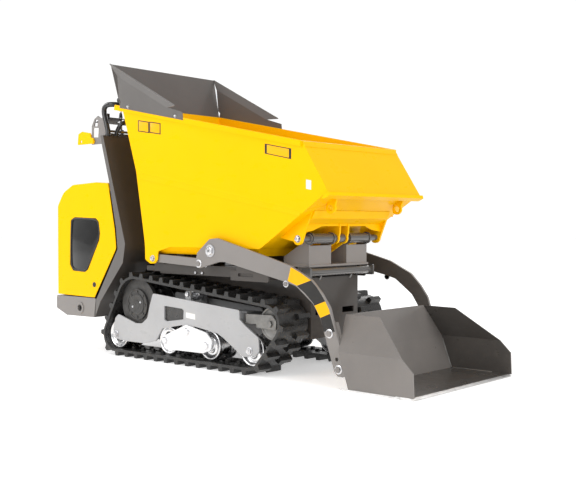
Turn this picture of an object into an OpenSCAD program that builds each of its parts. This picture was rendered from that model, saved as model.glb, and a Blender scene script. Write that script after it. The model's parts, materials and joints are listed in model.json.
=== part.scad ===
// Tracked mini dumper: a walk-behind power wheelbarrow on rubber tracks with a
// front-tipping skip and a self-loading shovel.
// Millimetres. X runs forward, Y to the machine's left, Z up, ground at Z = 0.
// Lengths along X are given from a datum and moved at the end so that the
// origin is the middle of the overall length.

/* [Overall] */
// Width over the two rubber tracks
over_tracks_w = 710; // [690:5:760]
// Width of the shovel at its cutting edge
shovel_w = 730; // [726:2:800]
// Rear face of the bumper, from the datum
rear_x = -1090; // [-1150:5:-1060]
// Cutting edge of the shovel, from the datum
front_x = 1162; // [1130:2:1220]

/* [Tracks] */
// Width of one rubber track
track_w = 180; // [170:5:200]
// Distance between links
link_pitch = 72; // [60:1:80]
// Thickness of the belt's carcass
carcass_t = 12; // [10:1:14]
// Height of the tread lugs
lug_h = 20; // [14:1:24]
// Length of a lug along the belt
lug_l = 30; // [22:1:40]
// Height of the guide horns inside the belt
horn_h = 12; // [8:1:13]
// Radius of the belt's inside round the sprocket
sprocket_r = 122; // [114:1:124]
// Radius of the belt's inside round the idler
idler_r = 72; // [64:1:76]
// Radius of the bottom rollers
roller_r = 70; // [64:1:72]
// Half the distance between the two rollers of a bogie
bogie_half = 138; // [120:2:150]
// How far the bogie rollers clear the belt, for the bogie to rock
bogie_gap = 3.4; // [3:0.2:6]
// Thickness of the track frame's plates
frame_t = 8; // [6:1:10]

/* [Skip] */
// Top of the skip's rim at the rear
rim_rear_z = 1219; // [1150:5:1260]
// Top of the skip's rim at the front
rim_front_z = 975; // [920:5:1010]
// Height of the front lip
lip_z = 754; // [730:2:780]
// Underside of the skip's floor
floor_z = 500; // [500:1:520]
// Sheet thickness of the skip
skip_t = 4; // [3:0.5:6]
// Height of the folded rim
rim_h = 24; // [16:1:30]
// Height of the spill guard above the rim at the rear
guard_h = 193; // [120:5:230]
// Sheet thickness of the spill guard
guard_t = 3; // [2:0.5:4]

/* [Shovel] */
// Thickness of the shovel's arms
arm_t = 12; // [8:1:14]
// Sheet thickness of the shovel
shovel_t = 6; // [4:0.5:8]
// How much narrower each side is at the top
shovel_lean = 92; // [60:2:110]

/* [Pivots] */
// Radius of the skip's hinge shaft
hinge_pin_r = 14; // [10:1:15]
// Radius of the shovel arms' pivots
arm_pin_r = 18; // [14:1:20]
// Radius of the roller axles
axle_r = 12; // [8:1:14]
// Radius of the lift rods
lift_rod_r = 11; // [8:0.5:12]
// Radial play in every running bore
play = 0.05; // [0.02:0.01:0.09]

/* [Hood] */
// Sheet thickness of the hood
hood_t = 3; // [2:0.5:5]
// Width of the seal gap round the hood
seal_gap = 8; // [6:1:14]

/* [Hidden] */
$fn = 48;

// Widths, each tied to the width over the tracks.
half_w = over_tracks_w / 2;
track_c = half_w - track_w / 2;
track_in = half_w - track_w;
arm_out = half_w - 5;
arm_in = arm_out - arm_t;
rim_out = arm_in - 6;
wall_out = rim_out - 10;
floor_half = wall_out - 34;
plate_out = half_w - 15;
plate_in = track_in + 15;
box_half = track_in - 13;
box_t = 8;
body_half = plate_out;
cyl_out = wall_out - 10;
cyl_in = cyl_out - 24;
cyl_mid = (cyl_out + cyl_in) / 2;
post_out = cyl_in - 1;
post_in = post_out - 8;
side_out = arm_in - 2;
side_in = side_out - 8;
origin_x = (rear_x + front_x) / 2;

// Points in the side view, as [x, z].
sprocket_p = [-439, 255];
idler_p = [416, 222];
roller_z = lug_h + carcass_t + roller_r;
rear_roller_p = [-589, roller_z];
front_roller_p = [315, roller_z];
bogie_p = [-82, 154];
hinge_p = [527, 578];
arm_p = [86, 522];
lug_p = [12, 463];
lift_base = [-330, 479];
tip_base = [-120, 230];
tip_lug = [380, 486];
lever_p = [-775, 1110];
bar_p = [-888, 1060];
hood_p = [-1086, 274];
knuckle_r = 4;
knuckle_gap = 0.4;
knuckle_y = [170, 190, 210, 230];
bogie_rear_p = [bogie_p[0] - bogie_half, roller_z];
bogie_front_p = [bogie_p[0] + bogie_half, roller_z];
bogie_roller_r = roller_r - bogie_gap;

// ---------- helpers ----------
// Extrudes a side-view outline between distances a and b from the middle
// plane, on side s: -1 is the machine's right and 1 its left.
module slab(s, a, b) {
  translate([0, s < 0 ? -a : b, 0]) rotate([90, 0, 0]) linear_extrude(b - a) children();
}
module across(h) {
  translate([0, h, 0]) rotate([90, 0, 0]) linear_extrude(2 * h) children();
}
module both(a, b) {
  slab(-1, a, b) children();
  slab(1, a, b) children();
}
module ycyl(s, a, b, r, p) {
  translate([p[0], s < 0 ? -a : b, p[1]]) rotate([90, 0, 0]) cylinder(r = r, h = b - a);
}
module ycross(h, r, p) {
  translate([p[0], h, p[1]]) rotate([90, 0, 0]) cylinder(r = r, h = 2 * h);
}
module yhex(s, a, b, r, p) {
  translate([p[0], s < 0 ? -a : b, p[1]]) rotate([90, 0, 0]) cylinder(r = r, h = b - a, $fn = 6);
}
module box(x0, x1, y0, y1, z0, z1) {
  translate([x0, y0, z0]) cube([x1 - x0, y1 - y0, z1 - z0]);
}
module box2(x0, x1, a, b, z0, z1) {
  box(x0, x1, a, b, z0, z1);
  box(x0, x1, -b, -a, z0, z1);
}
module place() {
  translate([-origin_x, 0, 0]) children();
}
function unit(v) = v / norm(v);
function left_of(a, b) = let (d = unit(b - a)) [-d[1], d[0]];
// A closed outline, anticlockwise, with every side moved inwards by g.
function inset(p, g) = [for (i = [0 : len(p) - 1])
  let (a = p[(i + len(p) - 1) % len(p)], b = p[i], c = p[(i + 1) % len(p)],
    m = left_of(a, b), n = left_of(b, c)) b + (m + n) * g / (1 + m * n)];
// The same outline with each corner rounded by r[i].
function rounded(p, r) = [for (i = [0 : len(p) - 1])
  let (a = p[(i + len(p) - 1) % len(p)], b = p[i], c = p[(i + 1) % len(p)],
    u = unit(a - b), v = unit(c - b), k = is_list(r) ? r[i] : r,
    half = acos(max(-1, min(1, u * v))) / 2, d = k / tan(half),
    o = b + unit(u + v) * k / sin(half), s = b + u * d, e = b + v * d,
    t0 = atan2(s[1] - o[1], s[0] - o[0]), t1 = atan2(e[1] - o[1], e[0] - o[0]),
    w = ((t1 - t0 + 540) % 360) - 180)
  for (q = k > 0 ? [0 : 6] : [0]) k > 0 ? o + k * [cos(t0 + w * q / 6), sin(t0 + w * q / 6)] : b];

// ---------- the belt's path ----------
wheels = [concat(rear_roller_p, roller_r), concat(front_roller_p, roller_r),
  concat(idler_p, idler_r), concat(sprocket_p, sprocket_r)];
wheel_n = len(wheels);
arc_steps = 36;
function gap_of(a, b) = norm([b[0] - a[0], b[1] - a[1]]);
function leave(j) = let (i = (j + wheel_n) % wheel_n, a = wheels[i], b = wheels[(i + 1) % wheel_n])
  atan2(b[1] - a[1], b[0] - a[0]) - acos((a[2] - b[2]) / gap_of(a, b));
function sweep(i) = (leave(i) - leave(i - 1) + 720) % 360;
function arc_len(i, e) = (wheels[i][2] + e) * sweep(i) * PI / 180;
function line_len(i) = let (a = wheels[i], b = wheels[(i + 1) % wheel_n])
  sqrt(pow(gap_of(a, b), 2) - pow(a[2] - b[2], 2));
function seg_start(i, e) = i == 0 ? 0 : seg_start(i - 1, e) + arc_len(i - 1, e) + line_len(i - 1);
function loop(e) = [for (i = [0 : wheel_n - 1]) for (k = [0 : arc_steps])
  let (t = leave(i - 1) + sweep(i) * k / arc_steps, w = wheels[i])
  [w[0] + (w[2] + e) * cos(t), w[1] + (w[2] + e) * sin(t)]];
function on_seg(i, u, e) = let (w = wheels[i], al = arc_len(i, e), t = u <= al ? leave(i - 1) + sweep(i) * u / al : leave(i),
  v = max(0, u - al)) [w[0] + (w[2] + e) * cos(t) - v * sin(t), w[1] + (w[2] + e) * sin(t) + v * cos(t), t];
function seg_of(u, e) = max([for (i = [0 : wheel_n - 1]) if (seg_start(i, e) <= u) i]);
function on_loop(s, e) = let (u = s % seg_start(wheel_n, e), i = seg_of(u, e)) on_seg(i, u - seg_start(i, e), e);
pitch_e = carcass_t / 2;
loop_len = seg_start(wheel_n, pitch_e);
link_n = round(loop_len / link_pitch);
// A block standing on the belt at distance s: from n0 to n1 outwards, w0 and w1 long at those heights.
function block(s, n0, n1, w0, w1) = let (p = on_loop(s, pitch_e), n = [cos(p[2]), sin(p[2])], t = [-n[1], n[0]], c = [p[0], p[1]])
  [c + n * (n0 - pitch_e) - t * w0 / 2, c + n * (n1 - pitch_e) - t * w1 / 2, c + n * (n1 - pitch_e) + t * w1 / 2, c + n * (n0 - pitch_e) + t * w0 / 2];
module ring2d(e0, e1) {
  difference() {
    polygon(loop(e1));
    polygon(loop(e0));
  }
}
module lugs2d(phase) {
  for (k = [0 : link_n - 1])
    polygon(block((k + phase) * loop_len / link_n, carcass_t - 3, carcass_t + lug_h, lug_l, lug_l * 0.62));
}
module horns2d() {
  for (k = [0 : link_n - 1])
    polygon(block((k + 0.25) * loop_len / link_n, 3, -horn_h, 22, 13));
}
// The centre of the top roller, which runs in the belt's middle groove.
top_roller_r = 31.6;
groove_d = 8;
top_n = [cos(leave(2)), sin(leave(2))];
top_start = idler_p + top_n * idler_r;
top_along = (-93 - top_start[0]) / -top_n[1];
top_roller_p = top_start + [-top_n[1], top_n[0]] * top_along - top_n * (top_roller_r + 0.4 - groove_d);

// ---------- tracks ----------
module track_belt(s) {
  color("#1b1b1b") {
    slab(s, track_in, track_c - 14) { ring2d(0, carcass_t); lugs2d(0); }
    slab(s, track_c - 14, track_c + 14) ring2d(groove_d, carcass_t);
    slab(s, track_c + 14, half_w) { ring2d(0, carcass_t); lugs2d(0.5); }
    slab(s, track_c - 32, track_c - 18) horns2d();
    slab(s, track_c + 18, track_c + 32) horns2d();
  }
}
frame_outline = rounded([[-612, 122], [-606, 82], [-509, 74], [-371, 75], [-293, 93], [-249, 154], [-108, 181], [-92, 134],
  [-48, 134], [-32, 181], [118, 162], [156, 145], [277, 73], [350, 84], [372, 105], [367, 162], [287, 208],
  [255, 232], [255, 271], [-314, 314], [-337, 255], [-354, 196], [-393, 168], [-439, 165], [-573, 200], [-597, 179]],
  [8, 10, 24, 10, 20, 10, 4, 12, 12, 4, 10, 10, 24, 16, 16, 16, 10, 8, 10, 14, 10, 20, 18, 16, 12, 10]);
frame_window = rounded([[-233, 197], [-217, 190], [-101, 207], [-99, 248], [-111, 255], [-233, 261]], 4);
module track_frame(s) {
  color("#b9b9b9") difference() {
    union() {
      slab(s, plate_out - frame_t, plate_out) difference() {
        polygon(frame_outline);
        polygon(frame_window);
      }
      slab(s, plate_in, plate_in + frame_t) union() {
        polygon(frame_outline);
        polygon([[-573, 198], [-439, 160], [-335, 250], [-330, 300], [-360, 330], [-500, 330], [-540, 280]]);
      }
      slab(s, track_c - 30, track_c + 30) polygon([[-300, 208], [255, 208], [255, 262], [-300, 262]]);
      for (x = [-300, 60, 222])
        slab(s, plate_in + frame_t, plate_out - frame_t) polygon([[x, 214], [x + 30, 214], [x + 30, 258], [x, 258]]);
      for (a = [track_c - 52, track_c + 44])
        slab(s, a, a + 8) polygon([[top_roller_p[0] - 22, 255], [top_roller_p[0] + 22, 255],
          [top_roller_p[0] + 14, top_roller_p[1] + 14], [top_roller_p[0] - 14, top_roller_p[1] + 14]]);
      for (a = [track_c - 52, track_c + 28])
        slab(s, a, a + 24) polygon([[-120, 240], [-66, 240], [-66, 262], [-120, 262]]);
      slab(s, box_half, plate_in) polygon([[-120, 205], [-40, 205], [-40, 255], [-120, 255]]);
      slab(s, box_half, plate_in) polygon([[175, 205], [250, 205], [250, 255], [175, 255]]);
    }
    for (p = [rear_roller_p, front_roller_p])
      ycyl(s, plate_in - 1, plate_out + 1, axle_r, p);
    ycyl(s, plate_in - 1, plate_out + 1, axle_r + play, [bogie_p[0] + 12, bogie_p[1]]);
    ycyl(s, plate_in - 1, plate_in + frame_t + 1, 60.5, sprocket_p);
    ycyl(s, track_c - 60, track_c + 60, 8, top_roller_p);
    slab(s, track_c - 15.5, track_c + 15.5) polygon([[110, 219.5], [300, 219.5], [300, 250.5], [110, 250.5]]);
    ycyl(s, track_c - 20, track_c + 20, top_roller_r + 5, top_roller_p);
  }
}
module roller_axle_bolts() {
  color("#c9ccd0") for (s = [-1, 1]) {
    for (p = [rear_roller_p, front_roller_p]) {
      ycyl(s, plate_in - 6, plate_out, axle_r, p);
      yhex(s, plate_out, plate_out + 10, 15, p);
      yhex(s, plate_in - 14, plate_in - 6, 15, p);
    }
    ycyl(s, track_c - 56, track_c + 56, 8, top_roller_p);
    ycyl(s, track_c + 56, track_c + 62, 13, top_roller_p);
  }
}
// A wheel turned from a half profile given as [radius, distance from its middle].
module turned(s, p, profile) {
  translate([p[0], s * track_c, p[1]]) rotate([90, 0, 0]) rotate_extrude($fn = 96) polygon([for (q = profile) [q[0], -s * q[1]]]);
}
module roller(s, p, r) {
  b = axle_r + play;
  color("#d8dadd") turned(s, p, [[b, -60], [26, -60], [26, -54], [r - 12, -50], [r - 10, -60], [r - 0.4, -60], [r - 0.4, -37],
    [46, -34], [46, 34], [r - 0.4, 37], [r - 0.4, 60], [r - 10, 60], [r - 12, 50], [26, 54], [26, 60], [b, 60]]);
}
module idler(s) {
  b = axle_r + play;
  r = idler_r - 0.4;
  color("#6d6d6d") turned(s, idler_p, [[b, -42], [24, -42], [24, -38], [r - 10, -36], [r - 8, -42], [r, -42], [r, -35],
    [50, -33], [50, 33], [r, 35], [r, 42], [r - 8, 42], [r - 10, 36], [24, 38], [24, 42], [b, 42]]);
}
module top_roller(s) {
  color("#d0d2d5") turned(s, top_roller_p, [[8 + play, -13], [top_roller_r - 2, -13], [top_roller_r, -11],
    [top_roller_r, 11], [top_roller_r - 2, 13], [8 + play, 13]]);
}
drive_r = 56;
tooth_n = 11;
module sprocket(s) {
  r = sprocket_r - 0.5;
  color("#4a4a4a") {
    difference() {
      union() {
        turned(s, sprocket_p, [[drive_r + play, -58], [r - 18, -58], [r - 16, -58], [r, -58], [r, -38], [r - 26, -36], [r - 26, 36],
          [r, 38], [r, 58], [r - 16, 58], [74, 58], [74, 50], [drive_r + play, 50]]);
        ycyl(s, track_c + 46, track_c + 66, 74, sprocket_p);
      }
      ycyl(s, track_c - 70, track_c + 50, drive_r + play, sprocket_p);
    }
    for (k = [0 : tooth_n - 1])
      slab(s, track_c - 10, track_c + 10) translate(sprocket_p) rotate(k * 360 / tooth_n)
        polygon([[r - 28, -20], [sprocket_r + groove_d - 4, -8], [sprocket_r + groove_d - 2, 0],
          [sprocket_r + groove_d - 4, 8], [r - 28, 20]]);
    for (k = [0 : 7])
      yhex(s, track_c + 66, track_c + 70, 6, sprocket_p + 60 * [cos(k * 45), sin(k * 45)]);
  }
}
module final_drive(s) {
  color("#3a3a3a") {
    ycyl(s, box_half, plate_in, 80, sprocket_p);
    ycyl(s, plate_in, plate_in + frame_t, 60, sprocket_p);
    ycyl(s, plate_in + frame_t, track_c + 46, drive_r, sprocket_p);
  }
}
module idler_fork(s) {
  color("#8a8a8a") difference() {
    union() {
      slab(s, track_c - 15, track_c + 15) polygon([[130, 220], [300, 220], [300, 250], [130, 250]]);
      slab(s, track_c - 56, track_c + 56) polygon([[275, 214], [335, 216], [335, 256], [275, 256]]);
      both_cheeks(s);
    }
    ycyl(s, track_c - 60, track_c + 60, axle_r, idler_p);
    ycyl(s, track_c - 43, track_c + 43, idler_r + 3, idler_p);
  }
  color("#c9ccd0") {
    ycyl(s, track_c - 56, track_c + 56, axle_r, idler_p);
    yhex(s, track_c + 56, track_c + 64, 15, idler_p);
  }
}
module both_cheeks(s) {
  for (a = [track_c - 56, track_c + 44])
    slab(s, a, a + 12) polygon(rounded([[337, 201], [448, 199], [451, 235], [427, 259], [300, 256], [300, 216], [337, 216]],
      [0, 8, 8, 14, 0, 0, 0]));
}
bogie_outline = rounded([[-190, 64], [35, 67], [85, 85], [94, 127], [55, 160], [-75, 185], [-217, 128], [-233, 91]],
  [10, 20, 16, 20, 20, 12, 14, 14]);
module bogie(s) {
  piv = [bogie_p[0] + 12, bogie_p[1]];
  color("#e6e7e8") {
    difference() {
      union() {
        slab(s, plate_out + 1, plate_out + 8) polygon(bogie_outline);
        slab(s, plate_in - 8, plate_in - 1) polygon(bogie_outline);
      }
      for (p = [bogie_rear_p, bogie_front_p, piv]) ycyl(s, plate_in - 10, plate_out + 10, axle_r, p);
    }
    for (p = [bogie_rear_p, bogie_front_p, piv]) {
      ycyl(s, plate_in - 8, plate_out + 8, axle_r, p);
      yhex(s, plate_out + 8, plate_out + 14, 14, p);
    }
  }
}

// ---------- chassis ----------
module chassis_frame() {
  color("#5d5a57") {
    difference() {
      union() {
        for (s = [-1, 1]) slab(s, box_half - box_t, box_half)
          polygon([[-520, 150], [-60, 130], [505, 150], [505, 412], [470, 440], [-520, 440]]);
        box(-520, 505, -box_half + box_t, box_half - box_t, 150, 158);
        box(-520, 470, -box_half + box_t, box_half - box_t, 432, 440);
        box(497, 505, -box_half + box_t, box_half - box_t, 158, 412);
        box(-520, -512, -box_half + box_t, box_half - box_t, 158, 432);
        box(-180, -172, -box_half + box_t, box_half - box_t, 158, 432);
      }
      box(-150, 440, -50, 50, 425, 445);
      box(490, 510, -box_half + 30, -box_half + 110, 250, 275);
      box(490, 510, box_half - 110, box_half - 30, 250, 275);
    }
    // Clevis of the tipping cylinder
    for (a = [16, -26]) slab(1, a, a + 10) polygon([[-172, 200], [-100, 200], [-100, 250], [-172, 262]]);
    ycross(26, 12, tip_base);
    // Outriggers, the cylinder posts and the dark side plates
    box2(-430, -300, box_half, post_in, 416, 440);
    box2(190, 330, box_half, side_in, 396, 440);
    both(post_in, post_out) polygon([[-322, 406], [190, 406], [190, 452], [-296, 452], [-304, 492], [-356, 492], [-366, 416], [-322, 416]]);
    for (s = [-1, 1]) {
      ycyl(s, post_in, cyl_out + 1, 10, lift_base);
      for (x = [-74, -30]) ycyl(s, post_out, post_out + 4, 7, [x, 418]);
    }
    // Plates that carry the shovel arms' pivots
    difference() {
      both(side_in, side_out) union() {
        polygon(rounded([[56, 500], [232, 500], [232, 396], [420, 396], [420, 425], [262, 536], [56, 548]],
          [0, 14, 0, 6, 10, 20, 0]));
        translate(arm_p) circle(r = 30);
      }
      for (s = [-1, 1]) {
        slab(s, side_in - 1, side_out + 1) polygon(rounded([[243, 415], [334, 415], [334, 429], [243, 429]], 6.5));
        ycyl(s, side_in - 1, side_out + 1, arm_pin_r, arm_p);
      }
    }
    // Rails and bed for the engine
    box2(-1000, -520, box_half - 60, box_half - 10, 192, 240);
    box(-1000, -780, -body_half + 22, body_half - 22, 182, 192);
  }
}
module front_hinge_brackets() {
  color("#77736e") difference() {
    union() {
      box(430, 500, -box_half, box_half, 440, 458);
      box(420, 532, -205, 205, 458, 467);
      for (s = [-1, 1]) {
        for (a = [53, 192]) slab(s, a, a + 8) union() {
          polygon([[385, 467], [526, 467], [526, 548], [549, 578], [527, 598], [505, 578], [470, 548], [385, 500]]);
          translate(hinge_p) circle(r = 21);
        }
        slab(s, 61, 192) polygon([[518, 467], [526, 467], [526, 548], [518, 548]]);
        slab(s, 61, 192) polygon([[400, 467], [408, 467], [408, 505], [400, 505]]);
        ycyl(s, 61, 204, 20, hinge_p);
      }
    }
    for (s = [-1, 1]) ycyl(s, 50, 206, hinge_pin_r + play, hinge_p);
  }
}
module front_cross_tube() {
  color("#6b6b6b") {
    difference() {
      ycross(212, 17, [528, 436]);
      ycross(213, 12, [528, 436]);
    }
    both(212, 222) polygon(rounded([[504, 412], [552, 412], [552, 457], [504, 457]], 5));
    both(100, 110) polygon([[505, 400], [520, 424], [516, 432], [505, 436]]);
  }
}
module arm_pivots() {
  color("#b9bcc0") for (s = [-1, 1]) {
    ycyl(s, side_in, arm_out + 0.5, arm_pin_r, arm_p);
    ycyl(s, arm_out + 0.5, arm_out + 3.5, 28, arm_p);
    yhex(s, arm_out + 3.5, arm_out + 12, 21, arm_p);
    ycyl(s, arm_out + 12, arm_out + 14, 9, arm_p);
  }
}
module skip_rest_pads() {
  color("#222222") box2(-370, -320, box_half - 70, box_half - 20, 440, floor_z - 0.5);
}
bumper_outline = [[-1001, 168], [-768, 171], [-754, 262], [-763, 267], [rear_x + 4, 267], [rear_x, 255], [rear_x, 201]];
module rear_bumper() {
  color("#8b8883") difference() {
    union() {
      across(body_half) polygon(bumper_outline);
      both(body_half, body_half + 4) translate([-884, 212]) circle(r = 30);
    }
    across(body_half - 14) polygon([[-1000, 182], [-700, 182], [-700, 300], [rear_x + 18, 300], [rear_x + 18, 214]]);
    for (s = [-1, 1]) ycyl(s, body_half - 20, body_half + 5, 17, [-884, 212]);
  }
  color("#8b8883") for (s = [-1, 1]) {
    ycyl(s, knuckle_y[1] + knuckle_gap, knuckle_y[2] - knuckle_gap, knuckle_r, hood_p);
    slab(s, knuckle_y[1] + knuckle_gap, knuckle_y[2] - knuckle_gap) polygon([hood_p + [0, -knuckle_r], hood_p + [knuckle_r, 0], hood_p + [12, -12], hood_p + [0, -12]]);
  }
}
shield_front = [[-759, 173], [-715, 254], [-538, 450], [-520, 543], [-691, 1077]];
shield_rear = [[-712, 1077], [-698, 1020], [-644, 845], [-591, 620], [-579, 516], [-752, 260]];
shield_outline = concat(shield_front, shield_rear);
module operator_shield() {
  color("#3f3b38") difference() {
    union() {
      both(body_half - 5, body_half) polygon(shield_outline);
      across(body_half - 5) difference() {
        polygon(shield_outline);
        polygon(concat([for (i = [0 : 4]) shield_front[i] + [-7, i < 4 ? 2.5 : -6]], [[-760, 1071], [-760, 260]]));
      }
    }
    box(-800, -500, -box_half - 2, box_half + 2, 150, 445);
  }
}
module rod_between(a, b, r) {
  d = b - a;
  translate(a) rotate([0, acos(d[2] / norm(d)), atan2(d[1], d[0])]) cylinder(r = r, h = norm(d));
}
// A tube through points in space, with a ball at each bend.
module tube_path(pts, r) {
  for (i = [0 : len(pts) - 2]) rod_between(pts[i], pts[i + 1], r);
  for (i = [1 : len(pts) - 2]) translate(pts[i]) sphere(r = r + 1);
}
grip_half = body_half - 40;
module handlebar() {
  $fn = 24;
  color("#2b2b2b") {
    tube_path([[-702, -grip_half, 1077], [-702, -grip_half, 1108], [-740, -grip_half, 1206], [-716, -grip_half, 1231], [-674, -grip_half, 1231],
      [-648, -grip_half + 32, 1229], [-648, grip_half - 32, 1229], [-674, grip_half, 1231], [-716, grip_half, 1231],
      [-740, grip_half, 1206], [-702, grip_half, 1108], [-702, grip_half, 1077]], 13);
    tube_path([[-702, -grip_half + 52, 1077], [-702, -grip_half + 52, 1102], [-642, -grip_half + 52, 1160], [-642, grip_half - 52, 1160],
      [-702, grip_half - 52, 1102], [-702, grip_half - 52, 1077]], 10.5);
  }
}
console_half = grip_half - 14;
module console_housing() {
  color("#8b8883") {
    difference() {
      both(console_half - 6, console_half) polygon([[-700, 1077], [-716, 1090], [-746, 1176], [-780, 1171], [-804, 1185], [-833, 1170], [-855, 1136], [-855, 1042], [-720, 1042], [-712, 1077]]);
      both(console_half - 7, console_half + 1) polygon(rounded([[-836, 1134], [-807, 1132], [-801, 1164], [-826, 1167]], 4));
      for (s = [-1, 1]) ycyl(s, console_half - 7, console_half + 1, 8 + play, bar_p + [50, 0]);
    }
    across(console_half - 6) polygon([[-842, 1108], [-837, 1049], [-724, 1048], [-724, 1053], [-832.5, 1054], [-837, 1108]]);
  }
  color("#9a9a9a") ycross(console_half - 6, 6, lever_p);
}
module control_panel() {
  color("#2f2f2f") difference() {
    across(console_half - 6) polygon([[-829, 1152], [-745, 1172], [-746, 1176], [-830, 1156]]);
    for (y = lever_y) box(-806, -751, y - 10, y + 10, 1140, 1190);
    translate([-790, -235, 1140]) cylinder(r = 6 + play, h = 60);
  }
}
lever_y = [-60, 60, -160, 160];
module lever(y) {
  color("#1f1f1f") {
    difference() {
      union() {
        ycyl(1, y - 9, y + 9, 12, lever_p);
        rod_between([lever_p[0], y, lever_p[1] + 8], [lever_p[0] - 8, y, lever_p[1] + 150], 6);
      }
      ycyl(1, y - 10, y + 10, 6 + play, lever_p);
    }
    translate([lever_p[0] - 8.5, y, lever_p[1] + 160]) sphere(r = 17);
  }
}
module ignition_key() {
  color("#202020") {
    translate([-790, -235, 1144]) cylinder(r = 6, h = 26);
    translate([-790, -235, 1170]) cylinder(r = 11, h = 6);
    box(-792, -788, -247, -223, 1176, 1200);
  }
}
module safety_bar() {
  p = bar_p + [50, 0];
  color("#ffd500") {
    both(console_half + 1, console_half + 6) difference() {
      polygon(rounded([[-968, 1046], [-830, 1046], [-826, 1060], [-834, 1074], [-856, 1078], [-858, 1101], [-930, 1113], [-962, 1101]], 5));
      translate([-938, 1062]) circle(r = 7);
    }
    ycross(console_half + 1, 12, [-945, 1092]);
    for (s = [-1, 1]) {
      ycyl(s, console_half - 5, console_half + 1, 8, p);
      ycyl(s, console_half + 6, console_half + 10, 10, p);
    }
  }
}
// ---------- engine bay ----------
module engine() {
  color("#4b4b4b") {
    box(-985, -800, -120, 120, 240, 330);
    box(-960, -820, -95, 95, 192, 240);
    box(-960, -825, -95, 95, 330, 470);
    for (z = [345 : 14 : 457]) box(-968, -817, -103, 103, z, z + 5);
    box(-940, -850, -70, 70, 470, 505);
    translate([-895, 170, 320]) rotate([90, 0, 0]) cylinder(r = 68, h = 50);
    translate([-895, -120, 300]) rotate([90, 0, 0]) cylinder(r = 40, h = 70);
    translate([-1005, 110, 560]) rotate([90, 0, 0]) cylinder(r = 42, h = 220);
    box(-1012, -985, -30, 30, 300, 540);
  }
}
module fuel_tank() {
  color("#262626") {
    box(-900, -720, 160, 318, 590, 740);
    translate([-810, 240, 740]) cylinder(r = 30, h = 22);
    box(-900, -800, 200, 280, 192, 590);
  }
}
module hydraulic_tank() {
  color("#303030") {
    box(-900, -700, -318, -150, 560, 720);
    translate([-800, -235, 720]) cylinder(r = 28, h = 20);
    box(-900, -800, -300, -200, 192, 560);
  }
}
module valve_block() {
  color("#8d9094") {
    box(-500, -300, -90, 90, 165, 260);
    for (x = [-480 : 40 : -320]) translate([x, 0, 260]) cylinder(r = 14, h = 40);
    for (x = [-480 : 40 : -320]) box(x - 16, x + 16, -110, -90, 185, 240);
  }
}
hood_outline = [[-765, 271], [-590, 519], [-601, 612], [-652, 838], [-749, 846], [-943, 838], [-1026, 800], [-1088, 716], [-1089, 274]];
hood_round = [0, 30, 0, 10, 0, 60, 90, 60, 0];
hood_window = rounded([[-972, 429], [-946, 399], [-841, 395], [-815, 411], [-723, 559], [-717, 593], [-727, 650], [-750, 667], [-930, 673], [-964, 658]], 12);
module hood_body(g) {
  out = rounded(hood_outline, hood_round);
  intersection() {
    across(body_half - g) polygon(g > 0 ? inset(out, g) : out);
    translate([0, 0, 200]) linear_extrude(800) polygon(rounded([[-1089 + g, -body_half + g], [-400, -body_half + g], [-400, body_half - g], [-1089 + g, body_half - g]], [18 - g, 0, 0, 18 - g]));
  }
}
module engine_hood() {
  color("#ffd500") difference() {
    hood_body(0);
    hood_body(hood_t);
    box(-1062, -700, -body_half + hood_t, body_half - hood_t, 260, 290);
    across(body_half - hood_t) polygon([[-790, 240], [-700, 256], [-540, 480], [-560, 640], [-600, 800], [-660, 800], [-625, 612], [-618, 530], [-790, 290]]);
    both(body_half - hood_t - 1, body_half + 1) polygon(hood_window);
    for (s = [-1, 1]) ycyl(s, knuckle_y[1], knuckle_y[2], knuckle_r + knuckle_gap, hood_p);
  }
  color("#ffd500") for (s = [-1, 1]) {
    ycyl(s, knuckle_y[0], knuckle_y[1], knuckle_r, hood_p);
    ycyl(s, knuckle_y[2], knuckle_y[3], knuckle_r, hood_p);
  }
}
module hood_grilles() {
  color("#141414") {
    both(body_half - hood_t - 5, body_half - hood_t) polygon(inset(hood_window, -10));
    for (x = [-950 : 26 : -750])
      both(body_half - hood_t, body_half - 0.5) intersection() {
        polygon(inset(hood_window, 3));
        polygon([[x, 380], [x + 9, 380], [x + 9, 690], [x, 690]]);
      }
  }
}

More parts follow.
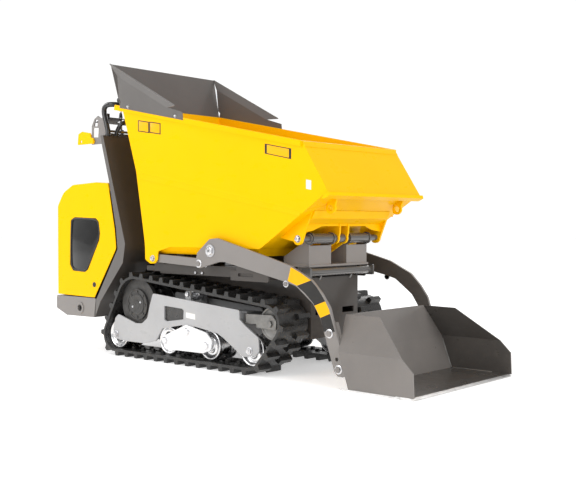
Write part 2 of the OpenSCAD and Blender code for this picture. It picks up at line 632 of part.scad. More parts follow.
// ---------- skip ----------
skip_rear_top = [-563, rim_rear_z - 10];
skip_front_top = [592, rim_front_z];
skip_nose = [738, lip_z];
function skip_side(up) = [[-392, 534], [358, 534], [369, 541], [702, lip_z - 1], skip_nose,
  skip_front_top + (skip_front_top - skip_nose) / (rim_front_z - lip_z) * up,
  skip_rear_top + (skip_rear_top - [-456, 891]) / (skip_rear_top[1] - 891) * up, [-456, 891], [-396, 567]];
rim_slope = (rim_front_z - rim_rear_z) / 1198;
function rim_z(x) = rim_rear_z + (x + 606) * rim_slope;
module skip_shell(g, up) {
  across(wall_out - g) polygon(inset(skip_side(up), g));
  hull() {
    box(-392 + g, 350 - g, -wall_out + g, wall_out - g, 534, 535 + g);
    box(-388 + g, 318 - g, -floor_half + g, floor_half - g, floor_z + g, floor_z + g + 1);
  }
}
module skip_body() {
  color("#ffd500") difference() {
    union() {
      difference() {
        skip_shell(0, 0);
        skip_shell(skip_t, 80);
      }
      // Folded rim
      both(wall_out, rim_out) polygon([[-606, rim_z(-606)], [-613, rim_z(-606) - rim_h], [592, rim_z(592) - rim_h], [594, rim_z(594)]]);
      across(wall_out) polygon([[-606, rim_z(-606)], [-613, rim_z(-606) - rim_h], [-550, rim_z(-550) - rim_h], [-564, rim_z(-564)]]);
      across(wall_out) polygon([[580, rim_z(580)], [590, rim_z(590) - rim_h], [610, rim_z(594) - rim_h], [594, rim_z(594)]]);
      // Lip along the nose
      across(rim_out) polygon([[742, lip_z - 2], [738, lip_z + 12], [720, lip_z + 6], [700, lip_z - 14], [718, lip_z - 14]]);
      // Rear lugs
      both(wall_out - 5, wall_out) polygon(rounded([[-392, 560], [-390, 470], [-352, 452], [-318, 454], [-302, 470], [-298, 511], [-193, 537], [-193, 560]],
        [0, 16, 14, 12, 12, 14, 0, 0]));
      // Cross-member under the nose
      across(262) polygon([[548, 640], [560, 640], [596, 662], [612, 694], [560, 661], [548, 655]]);
      translate([546, 0, 0]) rotate([90, 0, 90]) linear_extrude(8)
        polygon([[-262, 650], [-262, 604], [-205, 612], [-150, 630], [150, 630], [205, 612], [262, 604], [262, 650]]);
      // Ears, knuckle plates and the tipping cylinder's lugs
      both(262, 272) union() {
        polygon([[430, 582], [498, 568], [548, 564], [580, 640], [602, 690]]);
        translate(hinge_p) circle(r = 26);
      }
      both(24, 34) union() {
        polygon([[360, 505], [362, 480], [395, 476], [545, 566], [556, 600], [560, 664], [520, 638], [370, 542]]);
        translate(tip_lug) circle(r = 22);
        translate(hinge_p) circle(r = 25);
      }
      // Towing eyes under the lip
      both(226, 236) union() {
        translate([671, 704]) circle(r = 24);
        polygon([[650, 712], [692, 712], [708, 754], [660, 728]]);
      }
    }
    for (s = [-1, 1]) {
      ycyl(s, 220, 240, 13, [671, 704]);
      ycyl(s, 260, 274, hinge_pin_r, hinge_p);
      ycyl(s, 20, 36, 19, hinge_p);
      ycyl(s, 20, 36, 12, tip_lug);
      ycyl(s, wall_out - 6, wall_out + 1, 7, [-335, 477]);
    }
  }
}
module skip_pins() {
  color("#8f9296") {
    ycross(272, hinge_pin_r, hinge_p);
    ycross(50, 19, hinge_p);
    for (s = [-1, 1]) {
      yhex(s, 272, 280, 13, hinge_p);
      ycyl(s, 20.5, 38, 12, tip_lug);
      ycyl(s, wall_out - 5, wall_out, 7, [-335, 477]);
      yhex(s, wall_out, wall_out + 6, 12, [-335, 477]);
    }
  }
}
guard_top_rear = [-606, rim_rear_z + guard_h + 4];
guard_top_front = [-150, rim_z(-150) + 50];
module spill_guard() {
  foot = rim_out;
  color("#7d7a75") {
    both(foot, foot + guard_t) polygon([[-566, rim_z(-566) - 10], [-108, rim_z(-108) - 10], [-112, rim_z(-112) + 26], [-222, rim_z(-222) + 36],
      [-582, guard_top_rear[1] - 56], [-570, 1245], [-556, 1232]]);
    for (s = [-1, 1]) hull() {
      slab(s, foot, foot + guard_t) polygon([[-222, rim_z(-222) + 33], [-222, rim_z(-222) + 36], [-582, guard_top_rear[1] - 56], [-582, guard_top_rear[1] - 59]]);
      slab(s, foot + 13, foot + 13 + guard_t) polygon([guard_top_front, guard_top_front - [0, 3], guard_top_rear - [14, 3], guard_top_rear - [14, 0]]);
    }
    for (s = [-1, 1]) hull() {
      slab(s, foot + 13, foot + 20) polygon([guard_top_front + [0, 3], guard_top_front - [0, 2], guard_top_rear - [14, 2], guard_top_rear + [-14, 3]]);
    }
    hull() {
      across(foot) polygon([[-566, rim_z(-566) + 0.5], [-563, rim_z(-566) + 0.5], [-563, rim_z(-566) + 3], [-566, rim_z(-566) + 3]]);
      across(foot + 13) polygon([guard_top_rear - [14, 3], guard_top_rear - [11, 3], guard_top_rear - [11, 0], guard_top_rear - [14, 0]]);
    }
    for (s = [-1, 1]) for (x = [-500, -160]) ycyl(s, foot + guard_t, foot + guard_t + 3, 6, [x, rim_z(x) + 2]);
  }
}
lift_v = lug_p - lift_base;
lift_len = norm(lift_v);
lift_ang = atan2(lift_v[1], lift_v[0]);
module lift_frame() {
  translate([lift_base[0], 0, lift_base[1]]) rotate([0, -lift_ang, 0]) children();
}
module lift_barrel(s) {
  color("#a19f9b") difference() {
    lift_frame() slab(s, cyl_in, cyl_out) polygon(rounded([[-18, -19], [302, -19], [302, 19], [-18, 19]], [12, 2, 2, 12]));
    ycyl(s, cyl_in - 1, cyl_out + 1, 10 + play, lift_base);
    lift_frame() translate([40, s * cyl_mid, 0]) rotate([0, 90, 0]) cylinder(r = lift_rod_r + play, h = 300);
  }
}
module lift_rod(s) {
  color("#d9dcdf") difference() {
    lift_frame() union() {
      translate([46, s * cyl_mid, 0]) rotate([0, 90, 0]) cylinder(r = lift_rod_r, h = lift_len - 60);
      slab(s, cyl_in + 2, cyl_out - 2) translate([lift_len, 0]) circle(r = 17);
    }
    ycyl(s, cyl_in, cyl_out, 9.5, lug_p);
  }
}
tip_v = tip_lug - tip_base;
tip_len = norm(tip_v);
tip_ang = atan2(tip_v[1], tip_v[0]);
module tip_frame() {
  translate([tip_base[0], 0, tip_base[1]]) rotate([0, -tip_ang, 0]) children();
}
module tip_barrel() {
  color("#2b2b2b") difference() {
    tip_frame() union() {
      across(14) circle(r = 26);
      across(14) polygon([[0, -14], [40, -14], [40, 14], [0, 14]]);
      translate([36, 0, 0]) rotate([0, 90, 0]) cylinder(r = 34, h = tip_len - 106);
    }
    ycross(20, 12 + play, tip_base);
    tip_frame() translate([60, 0, 0]) rotate([0, 90, 0]) cylinder(r = 20 + play, h = tip_len);
  }
}
module tip_rod() {
  color("#d9dcdf") difference() {
    tip_frame() union() {
      translate([80, 0, 0]) rotate([0, 90, 0]) cylinder(r = 20, h = tip_len - 100);
      across(12) translate([tip_len, 0]) circle(r = 22);
    }
    ycross(14, 12.5, tip_lug);
  }
}

// ---------- shovel ----------
arm_outline = rounded([[-8, 453], [17, 443], [139, 474], [177, 475], [531, 404], [587, 389], [677, 322], [712, 270], [782, 67], [799, 49], [825, 48],
  [838, 60], [808, 170], [782, 241], [760, 313], [721, 365], [668, 417], [556, 470], [447, 498], [129, 577], [81, 573], [2, 511], [-8, 473]],
  [6, 8, 30, 30, 40, 60, 60, 40, 14, 8, 8, 8, 20, 30, 60, 60, 60, 60, 30, 20, 20, 14, 8]);
module shovel_arm(s) {
  color("#8a8783") difference() {
    slab(s, arm_in, arm_out) polygon(arm_outline);
    ycyl(s, arm_in - 1, arm_out + 1, arm_pin_r + play, arm_p);
    for (p = [[747, 250], [795, 115]]) ycyl(s, arm_in - 1, arm_out + 1, 8, p);
    for (p = [[758, 212], [804, 76]]) ycyl(s, arm_in - 1, arm_out + 1, 9, p);
    ycyl(s, arm_in - 1, arm_out + 1, 9, lug_p);
  }
  color("#c9ccd0") {
    ycyl(s, cyl_out + 2, arm_out, 9, lug_p);
    yhex(s, arm_out, arm_out + 8, 13, lug_p);
    yhex(s, arm_out, arm_out + 6, 10, [531, 396]);
    for (p = [[758, 212], [804, 76]]) {
      ycyl(s, arm_in - 12, arm_out, 9, p);
      yhex(s, arm_out, arm_out + 8, 13, p);
    }
  }
}
fold_z = 148;
shovel_half = shovel_w / 2;
shovel_low = [[865, 0], [front_x, 0], [front_x - 4, 100], [front_x - 53, fold_z - 1], [front_x - 53, fold_z], [815, fold_z]];
module shovel_bucket() {
  color("#8a8783") difference() {
    union() {
      across(shovel_half) polygon(shovel_low);
      hull() {
        across(shovel_half) polygon([[815, fold_z - 1], [front_x - 53, fold_z - 1], [front_x - 54, fold_z], [815, fold_z]]);
        across(shovel_half - shovel_lean) polygon([[780, 283], [front_x - 219, 281], [front_x - 219, 282], [780, 284]]);
      }
      // Mounting plates inside the arms
      both(arm_in - 12, arm_in) polygon([[745, 262], [728, 248], [782, 92], [790, 58], [842, 62], [818, 148], [792, 240], [785, 258]]);
      both(200, 212) polygon([[742, 250], [858, 30], [860, 20], [818, 148], [784, 270]]);
    }
    // Inside, open at the front and top
    across(shovel_half - shovel_t) polygon([[865 + shovel_t, 10], [front_x + 50, 10], [front_x + 50, fold_z + 0.5], [815 + shovel_t, fold_z + 0.5]]);
    hull() {
      across(shovel_half - shovel_t) polygon([[815 + shovel_t, fold_z], [front_x + 50, fold_z], [front_x + 50, fold_z + 0.5], [815 + shovel_t, fold_z + 0.5]]);
      across(shovel_half - shovel_t - shovel_lean * 1.12) polygon([[777 + shovel_t, 300], [front_x + 50, 300], [front_x + 50, 301], [777 + shovel_t, 301]]);
    }
    across(shovel_half + 1) polygon([[front_x - 80, -1], [front_x + 1, -1], [front_x + 1, 10], [front_x - 80, 10]]);
    for (s = [-1, 1]) for (p = [[758, 212], [804, 76]]) ycyl(s, arm_in - 13, arm_in + 1, 9, p);
  }
}
module cutting_edge() {
  color("#d0d2d4") across(shovel_half) polygon([[front_x - 80, 0], [front_x, 0], [front_x, 3], [front_x - 14, 10], [front_x - 80, 10]]);
}

// ---------- the parts ----------
place() chassis_frame();
place() front_hinge_brackets();
place() front_cross_tube();
place() rear_bumper();
place() operator_shield();
place() handlebar();
place() console_housing();
place() control_panel();
place() valve_block();
place() engine();
place() fuel_tank();
place() hydraulic_tank();
place() track_frame(-1);  // track_frame_right
place() track_frame(1);  // track_frame_left
place() track_belt(-1);  // track_belt_right
place() track_belt(1);  // track_belt_left
place() final_drive(-1);  // final_drive_right
place() final_drive(1);  // final_drive_left
place() roller_axle_bolts();
place() arm_pivots();
place() skip_rest_pads();
place() sprocket(-1);  // sprocket_right
place() sprocket(1);  // sprocket_left
place() idler(-1);  // idler_right
place() idler(1);  // idler_left
place() roller(-1, rear_roller_p, roller_r);  // rear_roller_right
place() roller(1, rear_roller_p, roller_r);  // rear_roller_left
place() roller(-1, bogie_rear_p, bogie_roller_r);  // bogie_roller_rear_right
place() roller(1, bogie_rear_p, bogie_roller_r);  // bogie_roller_rear_left
place() roller(-1, bogie_front_p, bogie_roller_r);  // bogie_roller_front_right
place() roller(1, bogie_front_p, bogie_roller_r);  // bogie_roller_front_left
place() roller(-1, front_roller_p, roller_r);  // front_roller_right
place() roller(1, front_roller_p, roller_r);  // front_roller_left
place() top_roller(-1);  // top_roller_right
place() top_roller(1);  // top_roller_left
place() idler_fork(-1);  // idler_fork_right
place() idler_fork(1);  // idler_fork_left
place() bogie(-1);  // bogie_right
place() bogie(1);  // bogie_left
place() skip_body();
place() skip_pins();
place() spill_guard();
place() tip_barrel();
place() tip_rod();
place() lift_barrel(-1);  // lift_barrel_right
place() lift_barrel(1);  // lift_barrel_left
place() lift_rod(-1);  // lift_rod_right
place() lift_rod(1);  // lift_rod_left
place() shovel_arm(-1);  // shovel_arm_right
place() shovel_arm(1);  // shovel_arm_left
place() shovel_bucket();
place() cutting_edge();
place() engine_hood();
place() hood_grilles();
place() lever(lever_y[0]);  // travel_lever_right
place() lever(lever_y[1]);  // travel_lever_left
place() lever(lever_y[2]);  // skip_lever
place() lever(lever_y[3]);  // shovel_lever
place() safety_bar();
place() ignition_key();
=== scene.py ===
"""The looks of a tracked mini dumper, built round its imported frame.

Lengths are in metres. Points in a side view are pairs (x, z). X runs forwards,
Y to the machine's left and Z up, with the ground at Z = 0.
"""

import json
import logging
import math
from collections.abc import Callable
from dataclasses import dataclass, field
from enum import Enum

import bmesh
import bpy
from mathutils import Matrix, Vector

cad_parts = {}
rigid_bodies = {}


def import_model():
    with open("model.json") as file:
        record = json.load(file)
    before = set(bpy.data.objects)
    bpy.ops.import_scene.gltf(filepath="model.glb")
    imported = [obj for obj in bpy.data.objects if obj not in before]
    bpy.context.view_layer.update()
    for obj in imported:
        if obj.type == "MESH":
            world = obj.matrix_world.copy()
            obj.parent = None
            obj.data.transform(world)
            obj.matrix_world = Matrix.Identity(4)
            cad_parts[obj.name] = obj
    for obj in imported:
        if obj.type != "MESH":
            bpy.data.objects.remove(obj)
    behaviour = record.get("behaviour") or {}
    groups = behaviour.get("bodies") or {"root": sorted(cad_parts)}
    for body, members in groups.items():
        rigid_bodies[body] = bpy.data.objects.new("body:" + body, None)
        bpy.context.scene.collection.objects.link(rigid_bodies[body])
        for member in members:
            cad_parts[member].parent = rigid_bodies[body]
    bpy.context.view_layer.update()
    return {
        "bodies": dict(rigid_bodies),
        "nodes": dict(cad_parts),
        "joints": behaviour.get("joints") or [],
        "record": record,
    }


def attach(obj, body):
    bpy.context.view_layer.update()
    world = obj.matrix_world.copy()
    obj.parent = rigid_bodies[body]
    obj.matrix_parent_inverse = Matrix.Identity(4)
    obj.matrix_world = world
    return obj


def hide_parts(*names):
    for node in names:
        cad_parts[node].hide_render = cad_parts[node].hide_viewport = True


Point2 = tuple[float, float]
Point3 = tuple[float, float, float]
Colour = tuple[float, float, float]

LOG = logging.getLogger("dumper")
SIDES: dict[str, int] = {"right": -1, "left": 1}
DATUM_X = 0.036
SKIP_FACE = 0.322
ARM_FACE = 0.35
FRAME_FACE = 0.34


def from_datum(x: float) -> float:
    """Turns a length in millimetres from the datum into metres in the frame."""
    return x / 1000 - DATUM_X


def side_view(*pairs: Point2) -> list[Point2]:
    """Turns side-view pairs in millimetres from the datum into metres in the frame.

    Args:
        *pairs: Points (x, z) in millimetres.

    Returns:
        The points in metres, moved so that the middle of the length is 0.
    """
    return [(from_datum(x), z / 1000) for x, z in pairs]


SWAGE: list[Point2] = side_view((-440, 885), (582, 693), (582, 671), (-432, 854))
SWAGE_RISE = 0.0024
GUARD_PEAK: Point3 = (-0.652, 0.349, 1.4135)
GUARD_TOE: Point3 = (-0.186, 0.349, 1.1755)


def collar(bore: float, wide: float, top: float, low: float, high: float) -> list[Point2]:
    """Returns the profile of a washer or collar whose upper rim is chamfered.

    Args:
        bore: Its inner radius, or 0.
        wide: Its radius at the foot.
        top: Its radius at the top.
        low: The height where the chamfer starts.
        high: Its height.

    Returns:
        The (radius, height) pairs.
    """
    return [(bore, 0.0), (wide, 0.0), (wide, low), (top, high), (bore, high)]


def sleeve(bore: float, radius: float, start: float, end: float) -> list[Point2]:
    """Returns the profile of a plain sleeve, or of a rod where the bore is 0."""
    return [(bore, start), (radius, start), (radius, end), (bore, end)]


def both_faces(half: list[Point2]) -> list[Point2]:
    """Returns a wheel's whole profile from that of its upper half."""
    return half + [(r, -h) for r, h in reversed(half)]


# ---------------------------------------------------------------- finishes


class NodeGraph:
    """A small helper that wires one material's nodes."""

    def __init__(self, name: str) -> None:
        """Makes an empty node material.

        Args:
            name: The material's name.
        """
        self.material = bpy.data.materials.new(name)
        self.material.use_nodes = True
        self.tree = self.material.node_tree
        self.tree.nodes.clear()
        self.shader = self.tree.nodes.new("ShaderNodeBsdfPrincipled")
        output = self.tree.nodes.new("ShaderNodeOutputMaterial")
        self.tree.links.new(self.shader.outputs[0], output.inputs[0])
        coordinate = self.tree.nodes.new("ShaderNodeTexCoord")
        self.place = coordinate.outputs["Object"]

    def link(self, source: bpy.types.NodeSocket, target: bpy.types.NodeSocket) -> None:
        """Joins two sockets."""
        self.tree.links.new(source, target)

    def mapped(self, scale: Point3) -> bpy.types.NodeSocket:
        """Stretches the object coordinates.

        Args:
            scale: How many pattern units one metre holds on each axis.

        Returns:
            The stretched vector.
        """
        node = self.tree.nodes.new("ShaderNodeMapping")
        node.inputs["Scale"].default_value = scale
        self.link(self.place, node.inputs["Vector"])
        return node.outputs[0]

    def noise(self, scale: float, detail: float = 4.0, rough: float = 0.55,
              stretch: Point3 = (1.0, 1.0, 1.0)) -> bpy.types.NodeSocket:
        """Adds fractal noise on the object coordinates.

        Args:
            scale: The noise's frequency.
            detail: How many octaves it has.
            rough: The weight of its fine octaves.
            stretch: The vector's scale before the noise.

        Returns:
            The noise's value, about 0.5 on average.
        """
        node = self.tree.nodes.new("ShaderNodeTexNoise")
        node.inputs["Scale"].default_value = scale
        node.inputs["Detail"].default_value = detail
        node.inputs["Roughness"].default_value = rough
        self.link(self.mapped(stretch), node.inputs["Vector"])
        return node.outputs["Fac"]

    def cells(self, scale: float) -> bpy.types.NodeSocket:
        """Adds a cell pattern, for grains and pebbles, and returns its distance."""
        node = self.tree.nodes.new("ShaderNodeTexVoronoi")
        node.inputs["Scale"].default_value = scale
        self.link(self.place, node.inputs["Vector"])
        return node.outputs["Distance"]

    def span(self, value: bpy.types.NodeSocket, low: float, high: float,
             to_low: float = 0.0, to_high: float = 1.0) -> bpy.types.NodeSocket:
        """Maps one range of values to another and holds its ends.

        Args:
            value: What to map.
            low: The value that becomes to_low.
            high: The value that becomes to_high.
            to_low: The result at low.
            to_high: The result at high.

        Returns:
            The mapped value.
        """
        node = self.tree.nodes.new("ShaderNodeMapRange")
        node.inputs["From Min"].default_value = low
        node.inputs["From Max"].default_value = high
        node.inputs["To Min"].default_value = to_low
        node.inputs["To Max"].default_value = to_high
        self.link(value, node.inputs["Value"])
        return node.outputs["Result"]

    def height(self) -> bpy.types.NodeSocket:
        """Returns the height above the ground at rest."""
        node = self.tree.nodes.new("ShaderNodeSeparateXYZ")
        self.link(self.place, node.inputs[0])
        return node.outputs["Z"]

    def times(self, first: bpy.types.NodeSocket, second: bpy.types.NodeSocket) -> bpy.types.NodeSocket:
        """Multiplies two values."""
        node = self.tree.nodes.new("ShaderNodeMath")
        node.operation = "MULTIPLY"
        self.link(first, node.inputs[0])
        self.link(second, node.inputs[1])
        return node.outputs[0]

    def blend(self, share: bpy.types.NodeSocket, first: Colour | bpy.types.NodeSocket,
              second: Colour) -> bpy.types.NodeSocket:
        """Mixes two colours.

        Args:
            share: How much of the second colour shows.
            first: The first colour, or a socket that gives it.
            second: The second colour.

        Returns:
            The mixed colour.
        """
        node = self.tree.nodes.new("ShaderNodeMix")
        node.data_type = "RGBA"
        self.link(share, node.inputs["Factor"])
        if isinstance(first, tuple):
            node.inputs[6].default_value = (*first, 1.0)
        else:
            self.link(first, node.inputs[6])
        node.inputs[7].default_value = (*second, 1.0)
        return node.outputs[2]

    def relief(self, value: bpy.types.NodeSocket, depth: float,
               under: bpy.types.NodeSocket | None = None) -> bpy.types.NodeSocket:
        """Raises the surface by a pattern.

        Args:
            value: The pattern.
            depth: Its height in metres.
            under: An earlier relief that this one lies on.

        Returns:
            The bent normal.
        """
        node = self.tree.nodes.new("ShaderNodeBump")
        node.inputs["Strength"].default_value = 1.0
        node.inputs["Distance"].default_value = depth
        self.link(value, node.inputs["Height"])
        if under is not None:
            self.link(under, node.inputs["Normal"])
        self.link(node.outputs[0], self.shader.inputs["Normal"])
        return node.outputs[0]

    def put(self, **values: float) -> None:
        """Sets constants on the shader, by socket name with _ for a space."""
        for key, value in values.items():
            self.shader.inputs[key.replace("_", " ")].default_value = value

    def colour(self, source: bpy.types.NodeSocket) -> None:
        """Wires the base colour."""
        self.link(source, self.shader.inputs["Base Color"])

    def gloss(self, source: bpy.types.NodeSocket) -> None:
        """Wires the roughness."""
        self.link(source, self.shader.inputs["Roughness"])


@dataclass(frozen=True)
class Paint:
    """Sprayed paint with a faint orange peel, smudges and some dust low down."""

    name: str
    slot: str
    base: Colour
    shade: Colour
    rough: float = 0.32
    coat: float = 0.35
    peel: float = 0.00008
    dust: float = 0.16
    sheen: float = 0.3

    def build(self) -> bpy.types.Material:
        """Returns the wired material."""
        graph = NodeGraph(self.name)
        patches = graph.noise(3.1, 5.0, 0.6)
        body = graph.blend(graph.span(patches, 0.42, 0.72), self.base, self.shade)
        grit = graph.span(graph.noise(46.0, 8.0, 0.7), 0.5, 0.78)
        low = graph.span(graph.height(), 0.04, 0.42, self.dust, 0.0)
        graph.colour(graph.blend(graph.times(grit, low), body, (0.23, 0.2, 0.16)))
        smudge = graph.noise(9.0, 6.0, 0.62, (1.0, 1.0, 2.2))
        graph.gloss(graph.span(smudge, 0.3, 0.7, self.rough * 0.82, self.rough * 1.28))
        first = graph.relief(graph.noise(330.0, 2.0, 0.4), self.peel)
        graph.relief(graph.noise(14.0, 2.0, 0.5), self.peel * 2.5, first)
        graph.put(Metallic=0.0, Coat_Weight=self.coat, Coat_Roughness=0.12, Specular_IOR_Level=self.sheen)
        return graph.material


@dataclass(frozen=True)
class Steel:
    """Bare steel whose fine lines run one way, with stains and dull spots."""

    name: str
    slot: str
    base: Colour
    shade: Colour
    rough: float = 0.3
    lines: Point3 = (6.0, 160.0, 160.0)
    depth: float = 0.00006

    def build(self) -> bpy.types.Material:
        """Returns the wired material."""
        graph = NodeGraph(self.name)
        brushing = graph.noise(9.0, 3.0, 0.6, self.lines)
        stains = graph.noise(17.0, 7.0, 0.68)
        body = graph.blend(graph.span(brushing, 0.35, 0.65), self.base, self.shade)
        spots = graph.span(stains, 0.56, 0.74, 0.0, 0.6)
        graph.colour(graph.blend(spots, body, tuple(0.55 * c for c in self.shade)))
        graph.gloss(graph.span(stains, 0.3, 0.75, self.rough * 0.7, self.rough * 1.6))
        graph.relief(brushing, self.depth)
        graph.put(Metallic=1.0, Anisotropic=0.35)
        return graph.material


@dataclass(frozen=True)
class Rubber:
    """Moulded rubber: fine grain, shallow flow marks and grey scuffs."""

    name: str
    slot: str
    base: Colour = (0.012, 0.0115, 0.011)
    worn: Colour = (0.032, 0.03, 0.028)

    def build(self) -> bpy.types.Material:
        """Returns the wired material."""
        graph = NodeGraph(self.name)
        scuffs = graph.span(graph.noise(28.0, 8.0, 0.72), 0.46, 0.7)
        graph.colour(graph.blend(scuffs, self.base, self.worn))
        graph.gloss(graph.span(graph.noise(60.0, 5.0, 0.6), 0.3, 0.7, 0.2, 0.46))
        first = graph.relief(graph.noise(520.0, 3.0, 0.6), 0.00025)
        graph.relief(graph.noise(42.0, 4.0, 0.6), 0.0006, first)
        graph.put(Metallic=0.0, Specular_IOR_Level=0.6)
        return graph.material


@dataclass(frozen=True)
class Cast:
    """A sand casting under thin dark paint, rough with pits."""

    name: str
    slot: str
    base: Colour
    shade: Colour
    metallic: float = 0.35
    rough: float = 0.5

    def build(self) -> bpy.types.Material:
        """Returns the wired material."""
        graph = NodeGraph(self.name)
        graph.colour(graph.blend(graph.span(graph.noise(30.0, 7.0, 0.7), 0.4, 0.7), self.base, self.shade))
        graph.gloss(graph.span(graph.noise(75.0, 4.0, 0.6), 0.3, 0.7, self.rough * 0.75, self.rough * 1.35))
        first = graph.relief(graph.cells(420.0), 0.00022)
        graph.relief(graph.noise(120.0, 4.0, 0.6), 0.0004, first)
        graph.put(Metallic=self.metallic)
        return graph.material


@dataclass(frozen=True)
class Plastic:
    """Injection-moulded plastic with a pebbled skin."""

    name: str
    slot: str
    base: Colour
    rough: float = 0.45
    pebble: float = 0.00014

    def build(self) -> bpy.types.Material:
        """Returns the wired material."""
        graph = NodeGraph(self.name)
        pale = tuple(min(1.0, 1.7 * c + 0.006) for c in self.base)
        haze = graph.span(graph.noise(22.0, 6.0, 0.6), 0.45, 0.75, 0.0, 0.7)
        graph.colour(graph.blend(haze, self.base, pale))
        graph.gloss(graph.span(graph.noise(36.0, 4.0, 0.6), 0.3, 0.7, self.rough * 0.8, self.rough * 1.25))
        graph.relief(graph.cells(760.0), self.pebble)
        graph.put(Metallic=0.0, Specular_IOR_Level=0.5)
        return graph.material


class Finish(Enum):
    """Every finish on the machine."""

    YELLOW = Paint("yellow_enamel", "yellow_paint", (1.0, 0.53, 0.0), (0.97, 0.512, 0.0), 0.3, 0.03,
                   dust=0.04, sheen=0.06)
    GREY = Paint("warm_grey_enamel", "grey_paint", (0.235, 0.218, 0.207), (0.21, 0.195, 0.185), 0.36, 0.2)
    BROWN = Paint("brown_grey_enamel", "dark_paint", (0.062, 0.054, 0.048), (0.052, 0.045, 0.04), 0.38, 0.25)
    GUARD = Paint("guard_enamel", "grey_paint", (0.13, 0.121, 0.114), (0.112, 0.104, 0.098), 0.34, 0.3)
    # Painted shade: a darker grey for faces that look inwards (the arms' inner faces, the inside of the
    # shovel and the top of its cutting edge), standing in for the shade that falls there.
    LINING = Paint("painted_shade_lining", "grey_paint", (0.085, 0.077, 0.07), (0.06, 0.054, 0.05), 0.3, 0.3,
                   0.0003)
    SHOVEL = Paint("shovel_enamel", "grey_paint", (0.2, 0.183, 0.17), (0.165, 0.152, 0.142), 0.33, 0.3,
                   0.00018)
    SILVER = Paint("silver_enamel", "silver_paint", (0.42, 0.42, 0.425), (0.37, 0.37, 0.375), 0.3, 0.4)
    WHITE = Paint("white_enamel", "white_paint", (0.82, 0.82, 0.83), (0.74, 0.74, 0.75), 0.22, 0.5)
    BLACK = Paint("black_enamel", "black_tube", (0.016, 0.016, 0.016), (0.022, 0.021, 0.02), 0.25, 0.5)
    LABEL = Paint("blank_label", "white_paint", (0.8, 0.79, 0.76), (0.72, 0.71, 0.68), 0.4, 0.0, 0.00003)
    TAPE_YELLOW = Paint("tape_yellow", "yellow_paint", (0.92, 0.46, 0.001), (0.86, 0.43, 0.001), 0.42,
                        0.05, 0.00006, 0.0, 0.15)
    TAPE_BLACK = Paint("tape_black", "black_plastic", (0.018, 0.017, 0.016), (0.026, 0.025, 0.023),
                       0.46, 0.05, 0.00006)
    RUBBER = Rubber("track_rubber_black", "track_rubber")
    BUFFER = Rubber("buffer_rubber_black", "buffer_rubber", (0.03, 0.029, 0.028), (0.05, 0.048, 0.046))
    CAST = Cast("cast_dark", "cast_grey", (0.075, 0.073, 0.07), (0.045, 0.043, 0.041))
    CAST_LIGHT = Cast("cast_light", "cast_grey", (0.24, 0.235, 0.225), (0.17, 0.165, 0.158), 0.6, 0.42)
    BARE = Steel("bare_plate", "bare_steel", (0.86, 0.85, 0.84), (0.72, 0.71, 0.7), 0.42, (160.0, 6.0, 160.0))
    ZINC = Steel("zinc_bolt", "bare_steel", (0.7, 0.7, 0.71), (0.58, 0.58, 0.6), 0.26, (60.0, 60.0, 60.0))
    CHROME = Steel("rod_chrome_plate", "rod_chrome", (0.86, 0.87, 0.88), (0.8, 0.81, 0.82), 0.09,
                   (40.0, 40.0, 40.0), 0.00001)
    WHEEL = Steel("turned_wheel", "white_paint", (0.84, 0.84, 0.85), (0.74, 0.74, 0.75), 0.24,
                  (50.0, 50.0, 50.0), 0.00003)
    GUNMETAL = Paint("gunmetal_tube", "gunmetal", (0.085, 0.082, 0.079), (0.075, 0.073, 0.07), 0.2,
                     0.6, 0.00002, 0.0, 0.6)
    MOULDED = Plastic("black_moulding", "black_plastic", (0.018, 0.018, 0.019))
    SMOKED = Plastic("smoked_panel", "black_plastic", (0.006, 0.006, 0.006), 0.12, 0.00001)
    RED = Plastic("red_knob", "black_plastic", (0.42, 0.012, 0.008), 0.3)

    def material(self) -> bpy.types.Material:
        """Returns the finish's material, made once."""
        return bpy.data.materials.get(self.value.name) or self.value.build()


# ---------------------------------------------------------------- workshop


